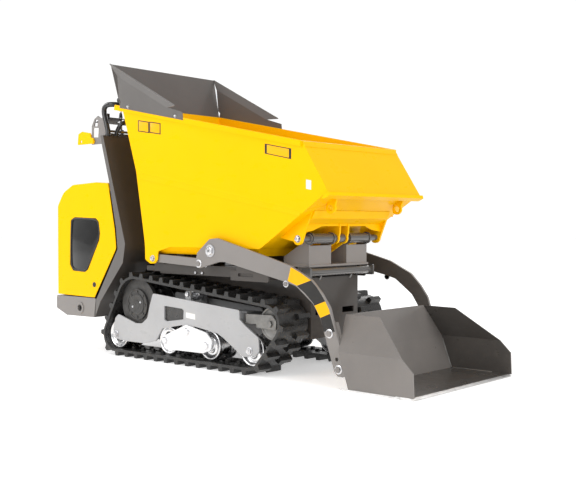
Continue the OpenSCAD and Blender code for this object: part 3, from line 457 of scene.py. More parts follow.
class Shape:
    """A bmesh under construction and the ways to add metal to it."""

    def __init__(self) -> None:
        """Starts with an empty bmesh."""
        self.mesh = bmesh.new()

    def _turn(self, verts: list[bmesh.types.BMVert], turn: Matrix) -> None:
        """Moves vertices by a matrix."""
        bmesh.ops.transform(self.mesh, matrix=turn, verts=verts)

    def _stand(self, verts: list[bmesh.types.BMVert], foot: Point3, axis: Point3) -> None:
        """Turns vertices made along Z to an axis and moves them to their foot."""
        turn = Vector((0, 0, 1)).rotation_difference(Vector(axis)).to_matrix().to_4x4()
        self._turn(verts, Matrix.Translation(foot) @ turn)

    def _ease(self, edges: list[bmesh.types.BMEdge], width: float, segments: int) -> None:
        """Rounds edges."""
        bmesh.ops.bevel(self.mesh, geom=edges, offset=width, offset_type="OFFSET", segments=segments,
                        profile=0.5, affect="EDGES", material=-1, clamp_overlap=True)

    def plate(self, outline: list[Point2], near: float, far: float, edge: float = 0.0) -> "Shape":
        """Adds a flat plate that stands in the side view.

        Args:
            outline: Its corners (x, z).
            near: One face's y.
            far: The other face's y.
            edge: The radius of its rim's edges, or 0.

        Returns:
            This shape.
        """
        corners = [self.mesh.verts.new((x, near, z)) for x, z in outline]
        face = self.mesh.faces.new(corners)
        pulled = bmesh.ops.extrude_face_region(self.mesh, geom=[face])["geom"]
        moved = [v for v in pulled if isinstance(v, bmesh.types.BMVert)]
        bmesh.ops.translate(self.mesh, verts=moved, vec=(0.0, far - near, 0.0))
        if edge:
            rim = {e for v in moved for e in v.link_edges if all(w in moved for w in e.verts)}
            rim |= {e for v in corners for e in v.link_edges if all(w in corners for w in e.verts)}
            self._ease(list(rim), edge, 2)
        return self

    def block(self, centre: Point3, size: Point3, edge: float, turn: Matrix | None = None) -> "Shape":
        """Adds a block with rounded edges.

        Args:
            centre: Its middle.
            size: Its size on each axis.
            edge: The radius of its edges.
            turn: A rotation about its own middle.

        Returns:
            This shape.
        """
        verts = bmesh.ops.create_cube(self.mesh, size=1.0)["verts"]
        self._turn(verts, Matrix.Translation(centre) @ (turn or Matrix()) @ Matrix.Diagonal((*size, 1.0)))
        edges = list({e for v in verts for e in v.link_edges})
        self._ease(edges, edge, 3)
        return self

    def lathe(self, centre: Point3, axis: Point3, profile: list[Point2], steps: int = 64) -> "Shape":
        """Adds a turned part.

        Args:
            centre: The point that the profile's heights start from.
            axis: The direction of its axis.
            profile: A closed outline of (radius, height) pairs; radius 0 is on the axis.
            steps: How many sides it has.

        Returns:
            This shape.
        """
        ring = [self.mesh.verts.new((r, 0.0, h)) for r, h in profile]
        edges = [self.mesh.edges.new((ring[i], ring[(i + 1) % len(ring)])) for i in range(len(ring))
                 if profile[i][0] > 1e-9 or profile[(i + 1) % len(ring)][0] > 1e-9]
        before = set(self.mesh.verts) - set(ring)
        bmesh.ops.spin(self.mesh, geom=ring + edges, cent=(0, 0, 0), axis=(0, 0, 1),
                       angle=2 * math.pi, steps=steps, use_merge=True)
        made = [v for v in self.mesh.verts if v not in before]
        bmesh.ops.remove_doubles(self.mesh, verts=made, dist=1e-6)
        made = [v for v in self.mesh.verts if v not in before]
        self._stand(made, centre, axis)
        return self

    def hexagon(self, centre: Point3, axis: Point3, radius: float, height: float) -> "Shape":
        """Adds a hexagonal head whose rim is chamfered.

        Args:
            centre: The middle of its foot.
            axis: The way it points.
            radius: Its radius over corners.
            height: Its height.

        Returns:
            This shape.
        """
        verts = bmesh.ops.create_cone(self.mesh, cap_ends=True, segments=6, radius1=radius,
                                      radius2=radius, depth=height)["verts"]
        top = [v for v in verts if v.co.z > 0]
        rim = {e for v in top for e in v.link_edges if all(w in top for w in e.verts)}
        bmesh.ops.translate(self.mesh, verts=verts, vec=(0, 0, height / 2))
        self._stand(verts, centre, axis)
        self._ease(list(rim), radius * 0.13, 2)
        return self

    def bolt(self, foot: Point3, axis: Point3, radius: float) -> "Shape":
        """Adds a washer, a hexagonal head and the rounded end of the thread.

        Args:
            foot: Where its axis meets the surface.
            axis: The way it points.
            radius: The head's radius over corners.

        Returns:
            This shape.
        """
        base, out = Vector(foot), Vector(axis).normalized()
        wide, thin = radius * 1.25, radius * 0.16
        self.lathe(tuple(base), axis, collar(0.0, wide, wide - thin * 0.4, thin * 0.7, thin), 32)
        self.hexagon(tuple(base + out * thin), axis, radius, radius * 0.55)
        core = radius * 0.46
        thread = [(0, -0.0005), (core, -0.0005), (core, core * 0.28), (core * 0.8, core * 0.45),
                  (0, core * 0.45)]
        self.lathe(tuple(base + out * (thin + radius * 0.55)), axis, thread, 20)
        return self

    def pipe(self, path: list[Point3], radius: float, cyclic: bool = False, soften: int = 0) -> "Shape":
        """Adds a round tube along a path.

        Args:
            path: The points of its middle line.
            radius: Its radius.
            cyclic: Whether it closes on itself.
            soften: How many times the corners are cut to round them.

        Returns:
            This shape.
        """
        points = [Vector(p) for p in path]
        for _ in range(soften):
            pairs = list(zip(points, points[1:] + points[:1])) if cyclic else list(zip(points, points[1:]))
            cut = [q for a, b in pairs for q in (a.lerp(b, 0.25), a.lerp(b, 0.75))]
            points = cut if cyclic else [points[0], *cut[1:-1], points[-1]]
        curve = bpy.data.curves.new("pipe", "CURVE")
        curve.dimensions = "3D"
        curve.bevel_depth, curve.bevel_resolution, curve.use_fill_caps = radius, 5, not cyclic
        spline = curve.splines.new("POLY")
        spline.points.add(len(points) - 1)
        for point, place in zip(spline.points, points):
            point.co = (*place, 1.0)
        spline.use_cyclic_u = cyclic
        holder = bpy.data.objects.new("pipe", curve)
        bpy.context.scene.collection.objects.link(holder)
        swept = bpy.data.meshes.new_from_object(holder.evaluated_get(bpy.context.evaluated_depsgraph_get()))
        self.mesh.from_mesh(swept)
        bpy.data.objects.remove(holder)
        bpy.data.meshes.remove(swept)
        bpy.data.curves.remove(curve)
        return self


class Workshop:
    """Knows the frame, and turns shapes into pieces that ride on its bodies."""

    def __init__(self, frame: dict) -> None:
        """Reads the names and places of bodies and joints.
        """
        self.nodes: dict[str, bpy.types.Object] = frame["nodes"]
        behaviour = frame["record"]["behaviour"]
        self.body_of: dict[str, str] = {n: b for b, ns in behaviour["bodies"].items() for n in ns}
        self.joint: dict[str, Vector] = {
            j["name"]: Vector(j["pos_m"]) for j in behaviour["joints"] if "pos_m" in j}
        self.made: list[str] = []

    def finish(self, name: str, shape: Shape, finish: Finish, body: str, replaces: tuple[str, ...] = (),
               crease: float = 35.0) -> bpy.types.Object:
        """Makes an object of a shape, dresses it and puts it on its body.

        Args:
            name: The piece's name.
            shape: The shape, which is used up.
            finish: The piece's finish.
            body: The body that it rides on.
            replaces: The CAD nodes that it stands for.
            crease: The angle in degrees above which an edge stays sharp.

        Returns:
            The finished object.
        """
        bmesh.ops.recalc_face_normals(shape.mesh, faces=shape.mesh.faces[:])
        return self._object(name, shape.mesh, finish, body, replaces, crease)

    def _object(self, name: str, mesh: bmesh.types.BMesh, finish: Finish, body: str,
                replaces: tuple[str, ...], crease: float) -> bpy.types.Object:
        """Links a mesh as an object; see finish for the arguments."""
        data = bpy.data.meshes.new(name)
        mesh.to_mesh(data)
        mesh.free()
        data.materials.append(finish.material())
        data.shade_smooth()
        data.set_sharp_from_angle(angle=math.radians(crease))
        piece = bpy.data.objects.new(name, data)
        bpy.context.scene.collection.objects.link(piece)
        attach(piece, body)
        if replaces:
            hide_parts(*replaces)
        self.made.append(name)
        return piece

    def keep(self, finish: Finish, *nodes: str) -> None:
        """Shows CAD nodes as they are, in a finish.

        Args:
            finish: Their finish.
            *nodes: The nodes' names.
        """
        for node in nodes:
            data = self.nodes[node].data
            data.materials.clear()
            data.materials.append(finish.material())
            LOG.info("kept %s in %s", node, finish.value.name)

    def eased(self, node: str, finish: Finish, edge: float = 0.0012, angle: float = 32.0) -> bpy.types.Object:
        """Builds a piece from a merged copy of a node, with its sharp edges eased.

        Args:
            node: The node that it copies and stands for.
            finish: The piece's finish.
            edge: The radius of the eased edges.
            angle: The angle in degrees above which an edge is eased.

        Returns:
            The new piece.
        """
        mesh = bmesh.new()
        mesh.from_mesh(self.nodes[node].data)
        bmesh.ops.remove_doubles(mesh, verts=mesh.verts[:], dist=2e-5)
        bmesh.ops.dissolve_limit(mesh, angle_limit=math.radians(0.6), use_dissolve_boundaries=False,
                                 verts=mesh.verts[:], edges=mesh.edges[:], delimit=set())
        piece = self._object(f"{node}_finished", mesh, finish, self.body_of[node], (node,), angle)
        if edge:
            ease = piece.modifiers.new("eased_edges", "BEVEL")
            ease.width, ease.segments, ease.limit_method = edge, 2, "ANGLE"
            ease.angle_limit, ease.harden_normals, ease.use_clamp_overlap = math.radians(angle), False, True
            piece.data.set_sharp_from_angle(angle=math.pi)
            weigh = piece.modifiers.new("flat_faces", "WEIGHTED_NORMAL")
            weigh.keep_sharp, weigh.weight = True, 80
        return piece

    @staticmethod
    def second_coat(piece: bpy.types.Object, finish: Finish,
                    wanted: Callable[[Vector, Vector], bool]) -> None:
        """Gives some of a piece's faces another finish.

        Args:
            piece: The piece.
            finish: The other finish.
            wanted: Says from a face's middle and its normal whether it gets the finish.
        """
        piece.data.materials.append(finish.material())
        for face in piece.data.polygons:
            if wanted(face.center, face.normal):
                face.material_index = 1


def mirrored(path: list[Point3]) -> list[Point3]:
    """Returns points mirrored in the middle plane."""
    return [(x, -y, z) for x, y, z in path]


# ---------------------------------------------------------------- sub-assemblies


@dataclass
class RunningGear:
    """Belts, wheels, track frames and drives of both sides."""

    shop: Workshop
    roller_r: float = 0.0696
    bogie_r: float = 0.0662
    half_w: float = 0.06

    def build(self) -> None:
        """Builds both sides."""
        for side, sign in SIDES.items():
            for wheel in ("rear_roller", "front_roller"):
                self.roller(f"{wheel}_{side}", f"{wheel}_spin_{side}", self.roller_r)
            for wheel in ("bogie_roller_rear", "bogie_roller_front"):
                self.roller(f"{wheel}_{side}", f"{wheel}_spin_{side}", self.bogie_r)
            self.idler(side)
            self.top_roller(side)
            self.drive(side, sign)
            self.frame(side, sign)
            self.shop.eased(f"track_belt_{side}", Finish.RUBBER, 0.0022, 28.0)
            self.shop.eased(f"bogie_{side}", Finish.WHITE, 0.0009)
            self.shop.eased(f"idler_fork_{side}", Finish.CAST_LIGHT, 0.0012)
        self.axles()

    def roller(self, node: str, joint: str, radius: float) -> None:
        """Builds one dished roller.

        Args:
            node: The CAD node that it stands for.
            joint: The joint that gives its middle.
            radius: Its radius.
        """
        bore, half = 0.01205, self.half_w
        outer = [(bore, half), (0.022, half), (0.0255, half - 0.0015), (0.0275, half - 0.007),
                 (0.034, half - 0.0125), (0.044, half - 0.0135), (radius - 0.017, half - 0.0105),
                 (radius - 0.0115, half - 0.005), (radius - 0.008, half - 0.0006),
                 (radius - 0.0055, half), (radius - 0.002, half - 0.0008), (radius, half - 0.0035),
                 (radius, 0.0385), (radius - 0.0015, 0.0368), (radius - 0.005, 0.036), (0.0478, 0.0345),
                 (0.046, 0.0325)]
        shape = Shape().lathe(tuple(self.shop.joint[joint]), (0, 1, 0), both_faces(outer), 72)
        self.shop.finish(f"{node}_wheel", shape, Finish.WHEEL, self.shop.body_of[node], (node,), 50.0)

    def idler(self, side: str) -> None:
        """Builds the idler of one side."""
        r = 0.0716
        half = [(0.01205, 0.042), (0.0225, 0.042), (0.024, 0.0405), (0.0255, 0.038), (r - 0.014, 0.0362),
                (r - 0.0095, 0.0395), (r - 0.0075, 0.0418), (r - 0.002, 0.042), (r, 0.0402), (r, 0.0362),
                (r - 0.0015, 0.0348), (0.0525, 0.0332), (0.05, 0.031)]
        node = f"idler_{side}"
        shape = Shape().lathe(tuple(self.shop.joint[f"idler_spin_{side}"]), (0, 1, 0), both_faces(half), 72)
        self.shop.finish(f"{node}_wheel", shape, Finish.CAST_LIGHT, node, (node,), 50.0)

    def top_roller(self, side: str) -> None:
        """Builds the small roller that carries the belt's upper run."""
        half = [(0.00805, 0.013), (0.0125, 0.013), (0.014, 0.0115), (0.024, 0.0113), (0.026, 0.013),
                (0.0298, 0.013), (0.0316, 0.0112)]
        node = f"top_roller_{side}"
        middle = tuple(self.shop.joint[f"top_roller_spin_{side}"])
        shape = Shape().lathe(middle, (0, 1, 0), both_faces(half), 48)
        self.shop.finish(f"{node}_wheel", shape, Finish.ZINC, node, (node,))

    def drive(self, side: str, sign: int) -> None:
        """Finishes the sprocket and its drive, and adds the cover plate.

        Args:
            side: The side's name.
            sign: Which way is outwards.
        """
        self.shop.eased(f"sprocket_{side}", Finish.CAST, 0.0012)
        self.shop.eased(f"final_drive_{side}", Finish.CAST, 0.001)
        hub = self.shop.joint[f"sprocket_spin_{side}"]
        foot = (hub.x, sign * 0.331, hub.z)
        dish = [(0, 0), (0.0505, 0), (0.0505, 0.0025), (0.049, 0.004), (0.043, 0.0046), (0.041, 0.0032),
                (0.020, 0.0030), (0.0185, 0.0052), (0.007, 0.0056), (0.006, 0.0045), (0, 0.0045)]
        ring = [(0.0675, 0), (0.0735, 0), (0.0735, 0.0018), (0.0725, 0.0028), (0.0688, 0.0028),
                (0.0675, 0.0016)]
        cover = Shape().lathe(foot, (0, sign, 0), dish, 64)
        cover.lathe(foot, (0, sign, 0), ring, 72)
        self.shop.finish(f"drive_cover_{side}", cover, Finish.CAST, f"sprocket_{side}")
        plug = Shape()
        for turn in (0.4, 0.4 + math.pi):
            spot = (hub.x + 0.031 * math.cos(turn), sign * 0.334, hub.z + 0.031 * math.sin(turn))
            plug.hexagon(spot, (0, sign, 0), 0.006, 0.004)
        self.shop.finish(f"drive_plugs_{side}", plug, Finish.ZINC, f"sprocket_{side}")

    def frame(self, side: str, sign: int) -> None:
        """Finishes one track frame and adds its label and a dark sheet of painted shade at the back of its
        window.

        Args:
            side: The side's name.
            sign: Which way is outwards.
        """
        self.shop.eased(f"track_frame_{side}", Finish.SILVER, 0.0014)
        label = side_view((-83, 216), (-22, 211), (-22, 236), (-83, 241))
        face = sign * FRAME_FACE
        piece = Shape().plate(label, face, face + sign * 0.0006, 0.0002)
        self.shop.finish(f"frame_label_{side}", piece, Finish.LABEL, "chassis")
        # Painted shade: a dark rubber sheet set in the window stands in for the shade deep in the frame.
        dark = side_view((-235, 190), (-96, 190), (-96, 258), (-235, 263))
        back = Shape().plate(dark, face - sign * 0.0088, face - sign * 0.0095)
        self.shop.finish(f"frame_window_painted_shade_{side}", back, Finish.BUFFER, "chassis")

    def axles(self) -> None:
        """Builds the axles, nuts and washers of the fixed rollers."""
        shape = Shape()
        for side, sign in SIDES.items():
            for wheel in ("rear_roller", "front_roller"):
                at = self.shop.joint[f"{wheel}_spin_{side}"]
                shape.lathe((at.x, 0.0, at.z), (0, sign, 0), sleeve(0.0, 0.012, 0.184, FRAME_FACE), 32)
                shape.bolt((at.x, sign * FRAME_FACE, at.z), (0, sign, 0), 0.0145)
                shape.bolt((at.x, sign * 0.19, at.z), (0, -sign, 0), 0.0125)
            at = self.shop.joint[f"top_roller_spin_{side}"]
            shape.lathe((at.x, 0.0, at.z), (0, sign, 0), sleeve(0.0, 0.008, 0.209, 0.3215), 24)
            shape.hexagon((at.x, sign * 0.321, at.z), (0, sign, 0), 0.0125, 0.006)
        self.shop.finish("roller_axles_and_nuts", shape, Finish.ZINC, "chassis", ("roller_axle_bolts",))
        caps = {side: Shape() for side in SIDES}
        for side, sign in SIDES.items():
            for joint in ("bogie_roller_rear_spin", "bogie_roller_front_spin", "bogie_rock"):
                at = self.shop.joint[f"{joint}_{side}"]
                caps[side].lathe((at.x, sign * 0.348, at.z), (0, sign, 0),
                                 collar(0.0085, 0.0175, 0.0165, 0.001, 0.0016), 32)
            self.shop.finish(f"bogie_washers_{side}", caps[side], Finish.ZINC, f"bogie_{side}")


@dataclass
class Chassis:
    """Chassis, hinge brackets, bumper, shield and the cylinders."""

    shop: Workshop
    seam_r: float = 0.0028

    def build(self) -> None:
        """Builds the chassis's pieces."""
        shop = self.shop
        shop.eased("chassis_frame", Finish.BROWN, 0.001)
        shop.eased("front_hinge_brackets", Finish.GREY, 0.0012)
        shop.eased("front_cross_tube", Finish.GUNMETAL, 0.001)
        shop.eased("rear_bumper", Finish.GREY, 0.0022)
        shield = shop.eased("operator_shield", Finish.BROWN, 0.0016)
        # Painted light and shade: the shield's outer side faces get a lighter grey than its other faces, for
        # the light falling on its sides and the shade on the rest.
        shop.second_coat(shield, Finish.GUARD,
                         lambda middle, normal: abs(middle.y) > 0.335 and abs(normal.y) > 0.9)
        shop.eased("skip_rest_pads", Finish.BUFFER, 0.002)
        shop.eased("tip_barrel", Finish.BLACK, 0.0012)
        shop.keep(Finish.CHROME, "tip_rod", "lift_rod_right", "lift_rod_left")
        for side in SIDES:
            shop.eased(f"lift_barrel_{side}", Finish.GREY, 0.0014)
        self.pivots()
        self.hinge_tubes()
        self.seams()
        self.bolts()

    def pivots(self) -> None:
        """Builds the two big pivots of the shovel's arms."""
        pin = [(0, 0), (0.018, 0), (0.018, 0.0225), (0.028, 0.0225), (0.028, 0.0245), (0.0268, 0.0257),
               (0, 0.0257)]
        cap = [(0.0045, 0), (0.0105, 0), (0.0105, 0.0022), (0.0092, 0.0032), (0.0058, 0.0032),
               (0.0045, 0.0022)]
        shape = Shape()
        at = self.shop.joint["shovel_lift"]
        for sign in SIDES.values():
            spot = (at.x, sign * 0.328, at.z)
            shape.lathe(spot, (0, sign, 0), pin, 48)
            shape.hexagon((at.x, sign * 0.3535, at.z), (0, sign, 0), 0.0215, 0.0075)
            shape.lathe((at.x, sign * 0.3605, at.z), (0, sign, 0), cap, 32)
        self.shop.finish("arm_pivot_nuts", shape, Finish.ZINC, "chassis", ("arm_pivots",))
        dark = Shape()
        for sign in SIDES.values():
            dark.lathe((at.x, sign * 0.3605, at.z), (0, sign, 0), sleeve(0.0, 0.0045, 0.0, 0.0006), 20)
        self.shop.finish("arm_pivot_sockets", dark, Finish.MOULDED, "chassis")

    def hinge_tubes(self) -> None:
        """Adds glossy dark sleeves with end rings over the skip's hinge."""
        ring = [(0.0155, -0.0008), (0.0256, -0.0008), (0.0265, 0.0002), (0.0265, 0.0078), (0.0256, 0.0088),
                (0.0155, 0.0088)]
        at = self.shop.joint["skip_tip"]
        for side, sign in SIDES.items():
            tube = Shape().lathe((at.x, 0, at.z), (0, sign, 0), sleeve(0.0202, 0.0222, 0.0612, 0.1918), 48)
            self.shop.finish(f"hinge_sleeve_{side}", tube, Finish.GUNMETAL, "chassis", (), 40.0)
            rings = Shape()
            for y in (0.053, 0.1915):
                rings.lathe((at.x, sign * y, at.z), (0, sign, 0), ring, 48)
            self.shop.finish(f"hinge_rings_{side}", rings, Finish.GUNMETAL, "chassis")

    def seams(self) -> None:
        """Adds weld seams where the brackets stand on their plates."""
        shape = Shape()
        for sign in SIDES.values():
            for y in (0.052, 0.0618, 0.1912, 0.2008):
                shape.pipe([(from_datum(x), sign * y, 0.4672) for x in range(392, 524, 8)], self.seam_r)
            shape.pipe([(0.4895, sign * y / 1000, 0.4672) for y in range(64, 190, 9)], self.seam_r)
        self.shop.finish("bracket_seams", shape, Finish.GREY, "chassis", (), 60.0)

    def bolts(self) -> None:
        """Adds the small bolts of the chassis's sides."""
        shape = Shape()
        for sign in SIDES.values():
            for x in (-74, -30):
                shape.hexagon((from_datum(x), sign * 0.2905, 0.418), (0, sign, 0), 0.0065, 0.003)
        self.shop.finish("frame_bolts", shape, Finish.ZINC, "chassis")


@dataclass
class Skip:
    """The skip, its pins and the spill guard."""

    shop: Workshop
    rim_rear: Point2 = (-0.606, 1.219)
    rim_fall: float = 0.244 / 1.198

    def build(self) -> None:
        """Builds the skip's pieces."""
        shop = self.shop
        shop.eased("skip_body", Finish.YELLOW, 0.0025, 14.0)
        shop.eased("spill_guard", Finish.GUARD, 0.0008, 20.0)
        shop.eased("skip_pins", Finish.GUNMETAL, 0.001)
        rim = Shape()
        for sign in SIDES.values():
            rim.pipe([(-0.640, sign * 0.3305, 1.2165), (0.556, sign * 0.3305, 0.9735)], 0.0032)
        self.shop.finish("rim_roll", rim, Finish.YELLOW, "skip", (), 60.0)
        lug = Shape()
        for sign in SIDES.values():
            lug.bolt((from_datum(-335), sign * SKIP_FACE, 0.477), (0, sign, 0), 0.0125)
            lug.bolt((0.491, sign * 0.272, 0.578), (0, sign, 0), 0.0125)
            for x in (-500, -160):
                z = self.rim_rear[1] - (x / 1000 - self.rim_rear[0]) * self.rim_fall + 0.002
                lug.bolt((from_datum(x), sign * 0.335, z), (0, sign, 0), 0.0062)
        self.shop.finish("skip_bolts", lug, Finish.ZINC, "skip")
        self.creases()
        self.labels()

    def creases(self) -> None:
        """Adds the swage along each side and the hems of the spill guard, painted a lighter grey than the
        guard as a painted highlight on its rolled edge.
        """
        swage, hem = Shape(), Shape()
        low = {tuple(Vector((x, 0.0, z)).xz) for x, z in SWAGE[2:]}
        for sign in SIDES.values():
            swage.plate(SWAGE, sign * (SKIP_FACE - 0.0002), sign * (SKIP_FACE + 0.0001))
            for vertex in swage.mesh.verts:
                if vertex.co.y * sign > SKIP_FACE and (vertex.co.x, vertex.co.z) in low:
                    vertex.co.y += sign * SWAGE_RISE
            # The hems are real rolled edges; their lighter grey is a painted highlight along them.
            hem.pipe([(x, sign * y, z) for x, y, z in (GUARD_PEAK, GUARD_TOE)], 0.003)
        self.shop.finish("side_swage", swage, Finish.YELLOW, "skip", (), 20.0)
        self.shop.finish("guard_hems_painted_highlight", hem, Finish.GREY, "skip", (), 60.0)

    def labels(self) -> None:
        """Adds the blank notice plates on the skip's sides."""
        shape, border = Shape(), Shape()
        for sign in SIDES.values():
            for spot in (side_view((-434, 1128), (-365, 1116), (-365, 1072), (-434, 1083)),
                         side_view((-350, 1115), (-283, 1104), (-283, 1060), (-350, 1071)),
                         side_view((400, 969), (523, 945), (523, 909), (400, 934))):
                shape.plate(spot, sign * (SKIP_FACE + 0.0002), sign * (SKIP_FACE + 0.0007), 0.0002)
                middle = sum((Vector(corner) for corner in spot), Vector((0.0, 0.0))) / len(spot)
                wider = [tuple(middle + (Vector(corner) - middle) * 1.2) for corner in spot]
                border.plate(wider, sign * SKIP_FACE, sign * (SKIP_FACE + 0.0003))
        self.shop.finish("skip_notices", shape, Finish.TAPE_YELLOW, "skip")
        self.shop.finish("notice_borders", border, Finish.TAPE_BLACK, "skip")
        white = Shape()
        for sign in SIDES.values():
            tag = side_view((615, 818), (642, 813), (642, 776), (615, 781))
            white.plate(tag, sign * SKIP_FACE, sign * (SKIP_FACE + 0.0006), 0.0002)
        self.shop.finish("skip_tag", white, Finish.LABEL, "skip")


@dataclass
class Shovel:
    """The self-loading shovel and its arms with their warning tape."""

    shop: Workshop
    yellow_patches: list[list[Point2]] = field(default_factory=lambda: [
        side_view((541, 409), (590, 392), (664, 416), (612, 443), (558, 465)),
        side_view((683, 317), (737, 337), (757, 306), (761, 290), (713, 271)),
    ])
    black_patches: list[list[Point2]] = field(default_factory=lambda: [
        side_view((591, 391), (634, 363), (677, 326), (683, 317), (737, 337), (718, 362), (694, 390),
                  (664, 416)),
        side_view((713, 271), (761, 290), (779, 242), (786, 222), (730, 218)),
    ])

    def build(self) -> None:
        """Builds the shovel's pieces."""
        shop = self.shop
        for side, sign in SIDES.items():
            arm = shop.eased(f"shovel_arm_{side}", Finish.GREY, 0.0016)
            # Painted shade: the arms' inner faces get a darker grey for the shade between the arms.
            shop.second_coat(arm, Finish.LINING, lambda middle, normal, out=sign: normal.y * out < -0.9)
            for name, patches, finish in (("yellow", self.yellow_patches, Finish.TAPE_YELLOW),
                                          ("black", self.black_patches, Finish.TAPE_BLACK)):
                tape = Shape()
                for outline in patches:
                    tape.plate(outline, sign * ARM_FACE, sign * (ARM_FACE + 0.0004))
                shop.finish(f"arm_tape_{name}_{side}", tape, finish, "shovel")
        bucket = shop.eased("shovel_bucket", Finish.SHOVEL, 0.0012, 20.0)
        # Painted shade: the faces that look into the shovel get a darker grey for the shade inside it.
        shop.second_coat(bucket, Finish.LINING, self.inside)
        # Painted shade: the top of the cutting edge keeps the dark grey of the shovel's inside; its front and
        # ends are bare steel.
        edge = shop.eased("cutting_edge", Finish.LINING, 0.0008)
        shop.second_coat(edge, Finish.BARE, lambda middle, normal: middle.x > 1.1 or abs(normal.y) > 0.5)
        self.fittings()

    @staticmethod
    def inside(middle: Vector, normal: Vector) -> bool:
        """Says whether a face of the shovel looks into it, which picks the faces that get painted shade."""
        outwards = normal.y * math.copysign(1.0, middle.y) if abs(middle.y) > 0.2 else 0.0
        return outwards < -0.3 or (outwards < 0.3 and normal.z > 0.9)

    def fittings(self) -> None:
        """Adds the arm bolts' washers and the shovel's weld seams."""
        bolts = Shape()
        for sign in SIDES.values():
            for x, z, r in ((12, 463, 0.0135), (531, 396, 0.0105), (758, 212, 0.0135), (804, 76, 0.0135)):
                bolts.lathe((from_datum(x), sign * ARM_FACE, z / 1000), (0, sign, 0),
                            collar(0.0, r * 1.35, r * 1.25, 0.0014, 0.0022), 32)
        self.shop.finish("arm_washers", bolts, Finish.ZINC, "shovel")
        seams = Shape()
        for sign in SIDES.values():
            seams.pipe([(from_datum(x), sign * 0.3575, 0.0112) for x in range(880, 1078, 12)], 0.0026)
            rise = [(from_datum(872 - 5.1 * t), sign * 0.3575, 0.012 + 0.0136 * t) for t in range(10)]
            seams.pipe(rise, 0.0026)
        self.shop.finish("shovel_seams", seams, Finish.CAST_LIGHT, "shovel", (), 60.0)
        strip = Shape()
        for sign in SIDES.values():
            skid = side_view((824, 0.5), (1100, 0.5), (1100, 8), (818, 8))
            strip.plate(skid, sign * 0.3645, sign * 0.3675, 0.001)
        self.shop.finish("shovel_skids", strip, Finish.BARE, "shovel")


